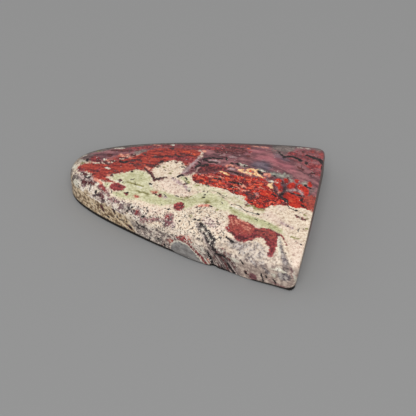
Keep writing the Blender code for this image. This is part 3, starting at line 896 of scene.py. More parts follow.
minerals["maroon"] = {  # dark red threads and spots
    "shades": ((116, 62, 60), (88, 44, 46), (60, 32, 36)),
    "spread": 0.06,
    "soft": 0.14,
    "ragged": 1.3,
    "strokes": (
        (0.2, 0.16, (-15.8, 4.1), (-14.7, 4.4), (-13.8, 4.4), (-13.2, 4.7), (-12.5, 4.9)),
        (0.2, 0.2, (-12.4, 1.8), (-11.8, 2.2), (-11.3, 2.4), (-10.4, 2.8)),
        (0.18, 0.18, (-8.1, 4), (-7.3, 4.2), (-6.6, 4.4), (-6.2, 4.8), (-5.6, 4.95), (-5, 4.9)),
        (0.25, 0.2, (-4.4, 5.7), (-3.6, 5.3), (-2.7, 5.5), (-2.2, 5.9)),
        (0.15, 0.12, (-3.6, 6.1), (-2.4, 6.1), (-1, 5.9)),
        (0.15, 0.25, (-8.7, 0.8), (-8.1, 0.2), (-7.5, -0.2), (-6.9, -0.8), (-6.4, -1.4), (-6.3, -1.8)),
        (0.26, 0.1, (-6.2, -1.6), (-5.7, -1.25), (-5.2, -0.9), (-4.8, -0.6), (-4.4, -0.5)),
        (0.2, 0.2, (-13.3, 2.7), (-12.7, 2.7)), (0.25, 0.25, (-16.3, 0.7), (-15.4, 0.3)),
        (0.2, 0.2, (-19, -4.1), (-18.2, -4.4), (-16.8, -4.6)), (0.15, 0.12, (-19.3, -2.8), (-18.4, -2.9)),
        (0.35, 0.3, (4.5, 10), (6, 10.2), (7.2, 10.2)), (0.2, 0.2, (-10.5, 1.6), (-9.8, 1.5)),
        (0.2, 0.2, (-8.6, 1.7), (-7.8, 1.7)), (0.17, 0.17, (-10.6, 2.7), (-10, 2.7)),
        (0.16, 0.14, (18, 7.6), (18.5, 7.3), (19, 7.1)), (0.15, 0.12, (4.2, 8.4), (5, 8.3)),
        (0.25, 0.2, (6.51, 3.61), (8.19, 3.31), (8.99, 2.92)), (0.14, 0.14, (4, 7.1), (4.7, 7)),
        (0.14, 0.16, (14.5, 1.9), (14.9, 1.3), (15.2, 0.7), (15.6, 0)),
        (0.05, 0.05, (9.8, -10.7), (11, -11.5), (12.6, -11.4), (14, -10.6), (15.4, -10), (16.6, -11.2)),
        (0.05, 0.05, (13.6, -9.3), (15.2, -9.4), (16.8, -10)), (0.1, 0.2, (19.8, -4.3), (20.5, -4.6)),
        (0.18, 0.12, (20.8, -4.9), (21.6, -5.1)), (0.09, 0.08, (18.6, 3.2), (18.6, 2.4), (18.9, 1.9)),
        (0.08, 0.08, (16, 3.3), (16.2, 2.6)), (0.09, 0.09, (16.7, 4.4), (17.1, 3.6)),
        (0.1, 0.08, (20.3, 0.6), (20.3, -0.2)),
    ),
    "spots": (
        (-10, 2.4, 0.16, 0.14), (-17.1, -1.9, 0.24, 0.16), (-15, -6.4, 0.3, 0.13), (-11.8, 3.6, 0.38, 0.26),
        (-17.35, 0.55, 0.45, 0.28), (-14.9, 1.25, 0.3, 0.25), (-7.2, 5.85, 0.25, 0.18),
        (-5.3, 7, 0.55, 0.28), (2.7, 8.6, 0.35, 0.28), (3.8, 8, 0.22, 0.16), (3.5, 7.6, 0.2, 0.14),
        (-0.4, 2.1, 0.2, 0.25), (0.8, 2.5, 0.3, 0.26), (1.2, -0.3, 0.4, 0.26), (3.6, 0.3, 0.35, 0.24),
        (1.3, 1.4, 0.2, 0.16), (10.4, -1.1, 0.4, 0.34), (10.9, -3.8, 0.22, 0.25), (-4.4, -5.2, 0.2, 0.2),
        (-12.6, -0.7, 0.2, 0.15), (-13.95, -2.4, 0.25, 0.15), (-12.4, -3.1, 0.35, 0.18),
        (9.6, 0, 0.22, 0.2), (15.9, 1.1, 0.16, 0.2), (-11.4, 1.4, 0.38, 0.2), (-10.7, 1, 0.28, 0.18),
        (-15.9, 2.7, 0.42, 0.5), (-0.9, -1.5, 0.3, 0.2), (5.3, 4.2, 0.25, 0.18), (4.6, 3.9, 0.2, 0.16),
        (6.9, 4.95, 0.12, 0.1), (13.9, 3.7, 0.3, 0.18), (8.7, 8.2, 0.3, 0.2), (-3.8, 3.7, 0.2, 0.14),
        (-6.95, 2.15, 0.2, 0.16), (-13.7, 2.5, 0.25, 0.16), (20.8, 6.6, 0.36, 0.26), (-0.6, 2.9, 0.2, 0.2),
        (2.6, -6.5, 0.18, 0.16),
    ),
    "mottles": (
        ((2.1, 8.7), (4.7, 9.5), (8.5, 10.3), (8.1, 8.7), (4.7, 8.1), (2.7, 7.9)),
        ((0.4, 1.8), (2.1, 2.1), (4, 3.1), (4.7, 4.3), (2.7, 4.1), (0.8, 3.3)),
        ((10.2, -0.2), (12.4, -1.4), (11.4, -2.6), (10.4, -1.6)),
    ),
    "wallStrokes": (
        (0.25, 0.25, (-9.6, 2.5), (-9.2, 2.1)), (0.16, 0.16, (12.9, 2.4), (12.7, 1.9)),
        (0.2, 0.2, (-14.9, 3.7), (-14.7, 3.1)), (0.15, 0.12, (-3.1, 1), (-2.4, 2), (-1.7, 3)),
        (0.14, 0.12, (-12.4, 4.4), (-12.2, 3.8)), (0.1, 0.1, (7.1, 3.2), (7.8, 1.7), (8.6, 0.5)),
        (0.1, 0.1, (9.2, 4.6), (10.4, 3.2), (10.9, 2.4)), (0.12, 0.1, (8, 4.4), (9, 3), (9.6, 1.2)),
        (0.14, 0.14, (13.2, 2), (13.6, 1.6)),
    ),
}

minerals["blackMoss"] = {  # black dendrites
    "shades": ((62, 50, 50), (38, 31, 32), (24, 20, 22)),
    "spread": 0.07,
    "soft": 0.08,
    "ragged": 0.9,
    "strokes": (
        (0.17, 0.17, (-13.6, 1.5), (-12.8, 1.4), (-12.4, 1.8)),
        (0.15, 0.15, (-2.5, 0), (-2.35, 0.4), (-2, 0.65), (-1.6, 0.6)),
        (0.2, 0.2, (0, 3.3), (0.3, 3.6), (0.8, 3.9)), (0.15, 0.15, (0.2, 4.6), (0.7, 4.4)),
        (0.22, 0.22, (1.2, 3.9), (1.7, 4.3), (2, 4.3)), (0.15, 0.12, (2, 5.1), (2.8, 5.2), (3.6, 5.3)),
        (0.16, 0.14, (1.2, 5.8), (2.2, 6.3), (3.2, 6.4), (4.2, 6.5)), (0.14, 0.12, (1, 5.5), (1.6, 5.4)),
        (0.13, 0.12, (4, 1.2), (5.1, 1.2)), (0.13, 0.12, (6.8, 1), (8.3, 1.1), (9.2, 0.9)),
        (0.16, 0.14, (7, 5.9), (7.4, 5.6)), (0.2, 0.18, (11.3, 4.9), (11.6, 4.5), (12, 4.4)),
        (0.12, 0.14, (13.8, 10.9), (14.3, 10.3), (14.9, 9.9)),
        (0.16, 0.24, (14.9, 9.6), (15.6, 10), (16.3, 10.2), (17, 10), (17.7, 9.7), (18.1, 9.4)),
        (0.2, 0.34, (19, 11.2), (19.8, 10.9), (20.6, 10.7), (21.4, 10.5), (22, 10.1), (22.1, 9.8)),
        (0.12, 0.1, (22.1, 9), (22.2, 8.4)), (0.2, 0.2, (16.5, 0.3), (16.2, -0.1)),
        (0.2, 0.24, (16.6, -0.7), (17.3, -1), (17.6, -1.3)), (0.14, 0.12, (14.8, -0.3), (15.6, -0.6)),
        (0.13, 0.12, (20.1, 3.4), (20.4, 2.9), (21.1, 2.7)), (0.14, 0.14, (20.4, -1.7), (20.8, -2)),
        (0.15, 0.13, (3.5, -9.3), (3.9, -9.2)), (0.26, 0.24, (4.2, -9.9), (4.7, -10.3), (5.2, -10.4)),
        (0.2, 0.22, (5.4, -10.8), (5.9, -11.1), (6.2, -11.5)),
        (0.2, 0.22, (6.5, -11.9), (6.9, -12.2), (7.2, -12.4)),
        (0.14, 0.12, (5.1, -11.5), (5.7, -12.1), (6.3, -12.7)),
        (0.12, 0.12, (6.8, -12.8), (7.2, -13.2), (7.8, -13.5)),
        (0.08, 0.1, (9.1, -11.7), (9.7, -12), (10.6, -12.4)), (0.12, 0.13, (13.2, -5.6), (13.5, -5.7)),
        (0.09, 0.09, (-5.9, -8.2), (-5.6, -8.6)), (0.1, 0.1, (-9.5, -8.6), (-8.9, -8.4), (-8.3, -8.2)),
        (0.1, 0.1, (-1.1, 0.1), (-0.6, -0.3)), (0.1, 0.1, (4.8, 7), (5.1, 6.4)),
        (0.12, 0.1, (5.9, 3.7), (7.1, 3.6), (7.8, 3.3)),
    ),
    "spots": (
        (-19.6, 0.6, 0.2, 0.28), (-10.25, -5.75, 0.17, 0.15), (-6.8, -2.75, 0.25, 0.15),
        (-5.75, -1.3, 0.2, 0.15), (-2.05, -7.95, 0.15, 0.13), (0.3, -2.85, 0.2, 0.15),
        (-0.35, -1.35, 0.15, 0.12), (-5.1, -5.1, 0.13, 0.14), (-1.4, -4.7, 0.2, 0.14),
        (-3.2, -0.4, 0.15, 0.13), (-3.3, -5, 0.12, 0.12), (8.5, 5.7, 0.15, 0.16), (6.2, 5.8, 0.3, 0.2),
        (7, 5.9, 0.3, 0.14), (9.1, 5.5, 0.4, 0.12), (7.4, -0.1, 0.2, 0.16), (18.3, 0.7, 0.3, 0.14),
        (19.45, 0.5, 0.4, 0.14), (20, -0.5, 0.22, 0.25), (19.2, 9, 0.28, 0.3), (19.6, -3.2, 0.18, 0.12),
        (8, -11.9, 0.2, 0.14), (14.3, 4.3, 0.2, 0.16), (18.1, 12, 0.15, 0.14), (11.7, -3.1, 0.15, 0.13),
        (13.1, -2.9, 0.12, 0.1), (14.4, -2.2, 0.14, 0.13), (3, -9.3, 0.2, 0.15), (4.4, -11.2, 0.15, 0.14),
        (6.9, -8.9, 0.18, 0.14), (8.5, -4.45, 0.12, 0.1), (5, -5.7, 0.18, 0.13), (3.3, -0.8, 0.15, 0.12),
        (2.9, -2.4, 0.09, 0.09), (2, -2.8, 0.1, 0.09), (3.6, -2.4, 0.09, 0.09), (3.3, -3.9, 0.1, 0.09),
        (21.8, -10.7, 0.16, 0.14), (19, -7.1, 0.1, 0.09), (-9, -7.8, 0.16, 0.13), (-6.3, -9.5, 0.28, 0.14),
        (-16, -5.8, 0.2, 0.13), (-7.4, 1.65, 0.22, 0.16), (-6.6, 1.6, 0.14, 0.12), (-6.3, 2, 0.14, 0.12),
        (-6.5, 2.85, 0.22, 0.14), (-6.4, 3.3, 0.26, 0.12), (-5.2, 3.5, 0.14, 0.12), (-2.4, 2.7, 0.13, 0.12),
        (-2.6, 3.5, 0.13, 0.12), (5.9, 4.7, 0.1, 0.1), (0.5, -9.9, 0.16, 0.14), (3, -9.2, 0.16, 0.13),
        (-10.9, -0.6, 0.16, 0.13),
    ),
    "wallStrokes": (
        (0.2, 0.2, (6.2, 3.6), (6.5, 2.6), (6.6, 1.3)), (0.14, 0.15, (8.3, 2), (8.4, 1.2), (8.5, 0.5)),
        (0.22, 0.2, (9.7, 2.6), (10.1, 1.8), (10.5, 1.3)), (0.05, 0.08, (15.7, 2.9), (16, 1.3)),
        (0.07, 0.07, (16.5, 2.7), (16.7, 2.3)), (0.07, 0.05, (17.9, 2.4), (18.2, 1.8)),
        (0.12, 0.12, (-7.6, 4.1), (-7.2, 3.6)), (0.07, 0.1, (12.3, 4.3), (12.6, 3.8)),
        (0.14, 0.12, (7.7, 4), (8.6, 4), (9.2, 3.9)),
    ),
    "wallSpots": (
        (-12.1, 4.1, 0.16, 0.24), (-7.4, 3, 0.25, 0.16), (-5.2, 1.8, 0.2, 0.26), (-3.3, 2.4, 0.32, 0.2),
        (-9.4, 2.3, 0.24, 0.26), (-9, 1.1, 0.2, 0.14), (-6.2, 3.7, 0.4, 0.14), (-2.3, 1.7, 0.16, 0.16),
        (12.8, 2.2, 0.12, 0.16), (9.1, 0.6, 0.3, 0.2), (18.1, 2, 0.09, 0.16), (-13.8, 2.4, 0.24, 0.16),
    ),
}

minerals["crack"] = {  # fine dark cracks
    "shades": ((84, 66, 62), (50, 40, 40), (30, 24, 26)),
    "soft": 0.05,
    "ragged": 0.35,
    "strokes": (
        (0.02, 0.07, (3.2, -1.8), (4.8, -1.85), (5.6, -2.2), (6.3, -2.6)),
        (0.07, 0.03, (6.3, -2.6), (7.2, -2.75), (8, -2.9)),
        (0.03, 0.07, (4.5, -2.2), (5.5, -2.3), (6.5, -3), (7.3, -3.3)),
        (0.05, 0.09, (8.2, -5.2), (8.4, -4.4), (9.2, -4.3), (9.9, -4.45), (10.4, -5), (11.2, -5.4)),
        (0.09, 0.05, (11.2, -5.4), (12.1, -5.5), (12.8, -5.6), (13.3, -5.7)),
        (0.1, 0.05, (17.8, -2), (18.3, -2.6), (18.7, -2.9), (19.3, -3.2), (19.8, -3.3)),
        (0.1, 0.1, (14.9, 0.9), (15.4, 0.1), (15.9, -0.4), (16.8, -0.7), (17.7, -1.5), (18.1, -2)),
        (0.09, 0.05, (16.3, 0.2), (16.5, 0.8), (16.6, 1.3), (16.8, 2.4)),
        (0.05, 0.1, (17.4, 1), (18.1, 0.8), (18.8, 0.75), (19.6, 0.6)),
        (0.06, 0.08, (19.8, 0.5), (20.1, -0.2), (20.4, -0.9), (20.9, -1.7), (21.3, -2.2)),
        (0.08, 0.04, (3.8, 1.8), (4.5, 1.7), (5.2, 1.4)),
        (0.05, 0.09, (10.3, -1.3), (11, -1.2), (11.7, -1.2)),
        (0.08, 0.05, (13.3, -1.1), (14.3, -1.3), (15.3, -1.2)),
        (0.05, 0.04, (11.7, 2.4), (12.6, 2.6), (13.5, 2.6)), (0.05, 0.04, (7, 0.2), (7.8, -0.2), (8.6, 0)),
        (0.05, 0.04, (1.4, 0.4), (2.2, 0.2), (2.8, 0.4)),
        (0.06, 0.09, (-15.9, 1.3), (-14.9, 1.2), (-14, 1.2), (-12.7, 1.7)),
        (0.05, 0.06, (-13.5, 3.3), (-12.2, 3.4)),
        (0.06, 0.08, (-9.1, 3.9), (-7.4, 4.4), (-5.6, 5), (-4.2, 5.2), (-3, 5.4)),
        (0.05, 0.06, (-12.3, 2), (-11.2, 2.4), (-10.3, 2.7)),
        (0.05, 0.07, (-9.1, 1), (-8.4, 0.5), (-7.7, 0), (-7.1, -0.8), (-6.5, -1.6)),
        (0.08, 0.04, (-6.4, -1.6), (-5.5, -1), (-4.6, -0.5)), (0.05, 0.04, (5.6, 8), (6.8, 7.8), (8, 7.9)),
        (0.04, 0.05, (17.6, 7), (18.6, 6.8), (19.6, 6.2)),
    ),
    "spots": (
        (-6.9, 2.6, 0.14, 0.1), (-6.1, 3.2, 0.16, 0.12), (-5.6, 3.4, 0.14, 0.12), (-5.9, 2.6, 0.1, 0.09),
        (-4.5, 3.7, 0.12, 0.1), (-3.6, 3.4, 0.1, 0.1), (-7, 2.1, 0.12, 0.12), (-2.9, 2.4, 0.1, 0.1),
    ),
}

minerals["dusk"] = {  # darkens what lies under it
    "tint": (138, 130, 130),
    "soft": 0.9,
    "ragged": 1.6,
    "strokes": (
        (0.6, 0.7, (-21.5, 2.4), (-18, 4.8), (-13, 6.8), (-8, 8.6), (-2, 10), (3, 11.6)),
        (0.9, 1.0, (3, 11.5), (9, 12.9), (14, 14), (19, 15), (23, 15.6)),
        (0.5, 0.5, (16.4, 2.8), (17, 1), (16.6, 0.2)),
    ),
    "mottles": (((-22.4, 0), (-20.4, -0.4), (-19, 0.6), (-18, 2), (-20.6, 1.4)),),
}

growth = {
    "reach": 1.2,  # how far from a mark's edge its distance is kept
    "margin": 1.6,  # marks are measured this far round their corners
    "dip": (-0.3, 0.38),  # how far the bands lean along x and y for each millimetre of depth
    "nearFade": 1.1,  # how fast the face's marks end below the near edge
    "wander": ((1.5, 0.1, 11), (0.5, 0.05, 12)),  # lump size, amount and seed
    "deepWander": (4.0, 0.22, 13),  # grows with depth
    "wallWander": 0.5,  # the share of it that moves the wall's marks
    "wallTop": 5.6,  # the wall's marks end at this height
    "roundTip": 3.5,  # how far round the tip the near wall's marks fade out
}
tiny = 1e-12  # stands in where something would be divided by 0


# cuts the corners of a closed outline twice, so that patches have no straight edges
def soften(corners):
    path = np.array(corners, float)
    for _ in range(2):
        after = np.roll(path, -1, axis=0)
        path = np.stack((0.75 * path + 0.25 * after, 0.25 * path + 0.75 * after), 1).reshape(-1, 2)
    return path


# how far along a line each place is nearest to it, from 0 to 1, and how far away it is there
def besideLine(places, start, end):
    run = end - start
    along = np.clip(((places - start) @ run) / max(run @ run, tiny), 0, 1)
    return along, np.sqrt(np.sum((places - start - along[:, None] * run) ** 2, axis=1))


# distance inside a closed outline, negative outside
def patchDistance(places, corners):
    path = soften(corners)
    nearest = np.full(len(places), np.inf)
    crossings = np.zeros(len(places), int)
    for start, end in zip(path, np.roll(path, -1, axis=0)):
        nearest = np.minimum(nearest, besideLine(places, start, end)[1])
        between = (start[1] > places[:, 1]) != (end[1] > places[:, 1])
        run, rise = end - start
        slope = run / (rise or tiny)
        crossings += between & (places[:, 0] < start[0] + slope * (places[:, 1] - start[1]))
    return np.where(crossings % 2, 1, -1) * nearest


def strokeDistance(places, stroke):
    first, last, *path = stroke
    path = np.array(path, float)
    lengths = np.hypot(*np.diff(path, axis=0).T)
    done = 0.0
    best = np.full(len(places), -np.inf)
    for start, end, length in zip(path, path[1:], lengths):
        along, away = besideLine(places, start, end)
        width = first + (last - first) * (done + along * length) / lengths.sum()
        best = np.maximum(best, width - away)
        done += length
    return best


def spotDistance(places, spot):
    x, y, rx, ry = spot
    return (1 - np.hypot((places[:, 0] - x) / rx, (places[:, 1] - y) / ry)) * min(rx, ry)


def mottleDistance(places, corners):
    return np.minimum(patchDistance(places, corners), 0.0)


markKinds = {
    "patches": patchDistance,
    "strokes": strokeDistance,
    "spots": spotDistance,
    "mottles": mottleDistance,
}


# the best distance of a layer's marks, looked at only where they can reach
def markDistance(places, layer, onWall=False):
    best = np.full(len(places), -growth["reach"])
    for kind, measure in markKinds.items():
        for mark in layer.get("wall" + kind.capitalize() if onWall else kind, ()):
            if kind == "spots":
                corners = np.array(mark[:2]) + np.outer((-1, 1), mark[2:])
            else:
                corners = np.array([corner for corner in mark if isinstance(corner, tuple)])
            low, high = corners.min(0) - growth["margin"], corners.max(0) + growth["margin"]
            within = np.all((places > low) & (places < high), axis=1)
            if within.any():
                best[within] = np.maximum(best[within], measure(places[within], mark))
    return best


# where each point of the surface is looked up: straight down from the face, leaning with depth
def growthPlaces(places, depths):
    def shift(size, amount, seed):
        return amount * np.column_stack([cloud(places, size, seed * 10 + axis) for axis in (0, 1)])

    deep = depths[:, None]
    moved = places[:, :2] + deep * np.array(growth["dip"])
    for wander in growth["wander"]:
        moved = moved + shift(*wander)
    return moved + deep * shift(*growth["deepWander"])


# 1 on the near side of the face and the wall, fading to 0 round the tip
def nearShare(places, kinds):
    return np.clip(1 - places[:, 1] / growth["roundTip"], 0, 1) * (kinds <= wallKind)


def growLayers(places, depths, kinds):
    reach = growth["reach"]
    lookup = growthPlaces(places, depths)
    wallLookup = places[:, [0, 2]] + (lookup - places[:, :2]) * growth["wallWander"]
    share = nearShare(places, kinds)
    nearFade = growth["nearFade"] * depths * share
    marked = (share > 0) & (places[:, 2] < growth["wallTop"])
    grown = {}
    for name, layer in minerals.items():
        found = markDistance(lookup, layer) - nearFade
        onWall = np.full(len(places), -reach)
        onWall[marked] = markDistance(wallLookup[marked], layer, onWall=True) - reach * (1 - share[marked])
        grown[name] = np.clip(np.maximum(found, onWall), -reach, reach)
    return grown


stoneGrowth = growLayers(stonePlaces, stoneDepths, stoneKinds)
print("minerals grown:", len(stoneGrowth), "layers")


# Shading

class Wire:
    # a socket in a material, which takes part in sums
    def __init__(self, tree, socket=None):
        self.tree = tree
        self.socket = socket

    # a new node: its settings first, then the values or wires of its sockets
    def node(self, kind, settings=None, sockets=None, output=0):
        made = self.tree.nodes.new(kind)
        for name, value in (settings or {}).items():
            if name in ("stops", "steps"):
                made.color_ramp.interpolation = "CONSTANT" if name == "steps" else "LINEAR"
                ramp = made.color_ramp.elements
                while len(ramp) < len(value):
                    ramp.new(1.0)
                for stop, (position, colour) in zip(ramp, value):
                    stop.position = position
                    stop.color = colour
            else:
                setattr(made, name, value)
        for name, value in (sockets or {}).items():
            if isinstance(value, Wire):
                self.tree.links.new(value.socket, made.inputs[name])
            else:
                made.inputs[name].default_value = value
        return Wire(self.tree, made.outputs[output])

    # one sum of two values, vectors or colours
    def sum(self, operation, first, second):
        kinds = {part.socket.type for part in (first, second) if isinstance(part, Wire)}
        if not kinds & {"VECTOR", "RGBA"}:
            return self.node("ShaderNodeMath", {"operation": operation}, {0: first, 1: second})
        alpha = () if "VECTOR" in kinds else (1,)
        parts = [part if isinstance(part, (Wire, tuple)) else (part,) * 3 + alpha for part in (first, second)]
        if "VECTOR" in kinds:
            return self.node("ShaderNodeVectorMath", {"operation": operation}, dict(enumerate(parts)))
        settings = {"data_type": "RGBA", "blend_type": operation}
        return self.node("ShaderNodeMix", settings, {0: 1.0, 6: parts[0], 7: parts[1]}, 2)

    def __add__(self, other):
        return self.sum("ADD", self, other)

    __radd__ = __add__

    def __sub__(self, other):
        return self.sum("SUBTRACT", self, other)

    def __rsub__(self, other):
        return self.sum("SUBTRACT", other, self)

    def __mul__(self, other):
        return self.sum("MULTIPLY", self, other)

    __rmul__ = __mul__

    # the three parts of a vector or a colour
    def parts(self):
        kind = "ShaderNodeSeparateXYZ" if self.socket.type == "VECTOR" else "ShaderNodeSeparateColor"
        split = self.node(kind, {}, {0: self}).socket.node
        return [Wire(self.tree, split.outputs[number]) for number in range(3)]

    # a vector of three parts
    def joined(self, x, y, z):
        return self.node("ShaderNodeCombineXYZ", {}, {0: x, 1: y, 2: z})

    # 0 below low and 1 above high, smooth between
    def between(self, low, high):
        settings = {"interpolation_type": "SMOOTHSTEP"}
        return self.node("ShaderNodeMapRange", settings, {0: self, 1: low, 2: high})

    # this colour, turning into another where the mask is 1
    def turning(self, other, mask):
        return self.node("ShaderNodeMix", {"data_type": "RGBA"}, {0: mask, 6: self, 7: other}, 2)


# a colour as seen on a screen, from 0 to 255, as the light that the shader works with
def screen(red, green, blue):
    parts = [part / 255 for part in (red, green, blue)]
    return tuple(p / 12.92 if p <= 0.04045 else ((p + 0.055) / 1.055) ** 2.4 for p in parts) + (1.0,)


def newMaterial(name):
    material = bpy.data.materials.new(name)
    material.use_nodes = True
    return material, Wire(material.node_tree), material.node_tree.nodes["Principled BSDF"]


# each noise gives three fields: its scale for each millimetre, detail and roughness
noises = {
    "lumps": (0.8, 2.0, 0.55),
    "clods": (1.35, 2.0, 0.6),
    "mottle": (1.9, 4.0, 0.66),
    "edges": (2.3, 3.0, 0.65),
    "grit": (2.6, 2.0, 0.6),
    "fine": (3.7, 2.0, 0.6),
    "fibre": (1.7, 4.0, 0.66),
    "silk": (0.8, 3.0, 0.55),
    "leaning": (2.0, 3.0, 0.6),
}

# how fibre, silk and leaning noise are drawn out along the bands
bands = {
    "archMiddle": 4.0,
    "arch": 0.006,  # the bands curve to the near side on both sides of the middle
    "fibreStretch": (0.4, 1.9, 1.3),
    "silkStretch": (1.4, 0.8, 1.0),  # on top of the fibre's
    "lean": 0.6,
    "leaningStretch": (1.0, 0.4, 0.25),
}

# the bright grains of the scarlet band: covers say how strongly a colour shows
cells = {
    "scale": 1.45,
    "stretch": (1.0, 1.5, 1.0),
    "warp": 0.8,
    "poolEdges": (0.58, 0.66),
    "poolCover": 0.7,
    "veinEdges": (0.04, 0.16),
    "veinGaps": (0.38, 0.5),
    "veinCover": 0.9,
    "sparkEdges": (0.57, 0.61),
    "sparkCover": 0.7,
}

polish = {
    "chalk": ((252, 238, 216), (236, 216, 192), (182, 156, 134)),  # the rock under all layers
    "clumping": 0.14,  # how far specks and glints gather
    "specks": ((38, 30, 30), (64, 54, 52), (104, 92, 90)),
    "speckEdges": (0.6, 0.62),
    "speckCover": 0.85,
    "speckGain": 0.052,  # more of them where the stone is speckled
    "speckLoss": 0.045,  # and fewer where it is ground matt
    "blotEdges": (0.61, 0.64),
    "blotGain": 0.05,
    "glint": (246, 236, 220),
    "glintEdges": (0.58, 0.62),
    "glintCover": 0.7,
    "glintGain": 0.04,
    "contrast": 1.2,  # how strongly the fine grain shows
    "calming": 0.75,  # and how much less in calm places
    "lumpContrast": 0.35,
    # painted shade over the straight end: its colour and how strongly it covers
    "sawn": (96, 88, 80),
    "paintedEndShadeCover": 0.7,
    # near-black painted contact shadow along the foot of the wall
    "grime": (18, 11, 8),
    "faceRoughness": 0.3,
    "wallRoughness": 0.5,
    "faceBump": 0.15,
    "bumpStrength": 0.6,
    "bumpHeight": 0.05,
    "ior": 1.5,
    "gloss": 0.3,
}


def paintStone():
    material, start, shader = newMaterial("polished moss agate")

    def attribute(name):
        return start.node("ShaderNodeAttribute", {"attribute_name": name}, output=2)

    def noise(name, vector):
        scale, detail, roughness = noises[name]
        sockets = {"Vector": vector, "Scale": scale, "Detail": detail, "Roughness": roughness}
        return start.node("ShaderNodeTexNoise", {}, sockets, 1).parts()

    def ramp(field, shades, kind="stops"):
        gaps = len(shades) - (kind == "stops")
        stops = [(number / gaps, screen(*shade)) for number, shade in enumerate(shades)]
        return start.node("ShaderNodeValToRGB", {kind: stops}, {0: field})

    def blend(first, second, share=0.5):
        return first * share + second * (1 - share)

    place = start.node("ShaderNodeTexCoord", output=3) * (1 / mm)
    x, y, z = place.parts()
    fromMiddle = x - bands["archMiddle"]
    flow = start.joined(x, y + fromMiddle * fromMiddle * bands["arch"], z) * bands["fibreStretch"]
    slant = start.joined(x + z * bands["lean"], y, z) * bands["leaningStretch"]
    everywhere = ("lumps", "clods", "mottle", "edges", "grit", "fine")
    lumps, clods, mottle, edges, grit, fine = (noise(name, place) for name in everywhere)
    fibre = noise("fibre", flow)
    silk = noise("silk", flow * bands["silkStretch"])
    leaning = noise("leaning", slant)
    fields = {
        "mottle": blend(mottle[0], grit[1], 0.6).between(0.36, 0.64),
        "fibre": blend(fibre[0], grit[2], 0.65).between(0.38, 0.62),
        "grit": blend(grit[0], mottle[1], 0.7).between(0.38, 0.62),
        "silk": blend(silk[0], fibre[1], 0.65).between(0.35, 0.65),
        "lump": blend(clods[1], mottle[2], 0.65).between(0.41, 0.59),
        "slant": blend(leaning[0], grit[2], 0.8).between(0.38, 0.6),
    }

    # grains in a few flat colours, with dark veins between them, and pools and sparks over them
    def cellShade(layer):
        vector = (place + start.joined(*edges) * cells["warp"]) * cells["stretch"]
        sockets = {"Vector": vector, "Scale": cells["scale"]}
        tone = start.node("ShaderNodeTexVoronoi", {}, sockets, 1).parts()[0]
        rim = start.node("ShaderNodeTexVoronoi", {"feature": "DISTANCE_TO_EDGE"}, sockets)
        pools = lumps[1].between(*cells["poolEdges"]) * cells["poolCover"]
        veins = (1 - rim.between(*cells["veinEdges"])) * mottle[2].between(*cells["veinGaps"])
        sparks = blend(fine[1], edges[2], 0.55).between(*cells["sparkEdges"]) * cells["sparkCover"]
        shade = ramp(tone, layer["cells"], "steps").turning(screen(*layer["pools"]), pools)
        shade = shade.turning(screen(*layer["veins"]), veins * cells["veinCover"])
        return shade.turning(screen(*layer["sparks"]), sparks)

    colour = ramp(blend(fields["grit"], fields["mottle"], 0.65), polish["chalk"])
    for number, (name, layer) in enumerate(minerals.items()):
        if "lumpy" in layer:
            fray = blend(lumps[number % 3], clods[number % 3], 0.7) - 0.5
        else:
            fray = blend(edges[number % 3], grit[(number + 1) % 3], 0.6) - 0.5
        grown = attribute(name) + fray * layer["ragged"] + layer.get("spread", 0.0)
        if "cells" in layer:
            shade = cellShade(layer)
        elif "tint" in layer:
            shade = colour * screen(*layer["tint"])
        else:
            shade = ramp(fields[layer.get("grain", "mottle")], layer["shades"])
        colour = colour.turning(shade, grown.between(-layer["soft"], layer["soft"]))

    # dark specks and blots and pale glints, thickest near the edge of the face and on the wall
    speckle, blotch, ground = (attribute(name) for name in ("speckle", "blotch", "ground"))
    clumps = (lumps[2] - 0.5) * polish["clumping"]
    specks = blend(grit[1], fine[0]) + clumps + speckle * polish["speckGain"] - ground * polish["speckLoss"]
    blots = blend(clods[0], grit[2]) - clumps + blotch * polish["blotGain"]
    glints = blend(grit[2], fine[1]) + clumps + speckle * polish["glintGain"]
    speck = ramp(edges[0].between(0.4, 0.6), polish["specks"])
    glintMask = glints.between(*polish["glintEdges"]) * polish["glintCover"]
    colour = colour.turning(screen(*polish["glint"]), glintMask)
    colour = colour.turning(speck, specks.between(*polish["speckEdges"]) * polish["speckCover"])
    colour = colour.turning(speck, blots.between(*polish["blotEdges"]) * polish["speckCover"])
    grain = (blend(fine[2], grit[0]) - 0.5) * polish["contrast"]
    bright = grain * (1 - attribute("calm") * polish["calming"]) + (lumps[0] - 0.5) * polish["lumpContrast"]
    colour = colour * (bright + 1.0)
    # painted shade over the straight end
    colour = colour.turning(screen(*polish["sawn"]), attribute("sawn") * polish["paintedEndShadeCover"])
    # painted contact shadow along the foot of the wall
    colour = colour.turning(screen(*polish["grime"]), attribute("grime"))

    rough = polish["faceRoughness"] + ground * (polish["wallRoughness"] - polish["faceRoughness"])
    height = (fine[0] + grit[0]) * (ground + polish["faceBump"]) + mottle[0] * ground
    sockets = {"Strength": polish["bumpStrength"], "Distance": polish["bumpHeight"] * mm, "Height": height}
    bump = start.node("ShaderNodeBump", {}, sockets)
    for name, wire in (("Base Color", colour), ("Roughness", rough), ("Normal", bump)):
        start.tree.links.new(wire.socket, shader.inputs[name])
    shader.inputs["IOR"].default_value = polish["ior"]
    shader.inputs["Specular IOR Level"].default_value = polish["gloss"]
    return material


# the colour map: shares of it for each millimetre of the face and the back, and its margin
atlas = {"scale": 0.0185, "backScale": 0.0058, "margin": 0.01}


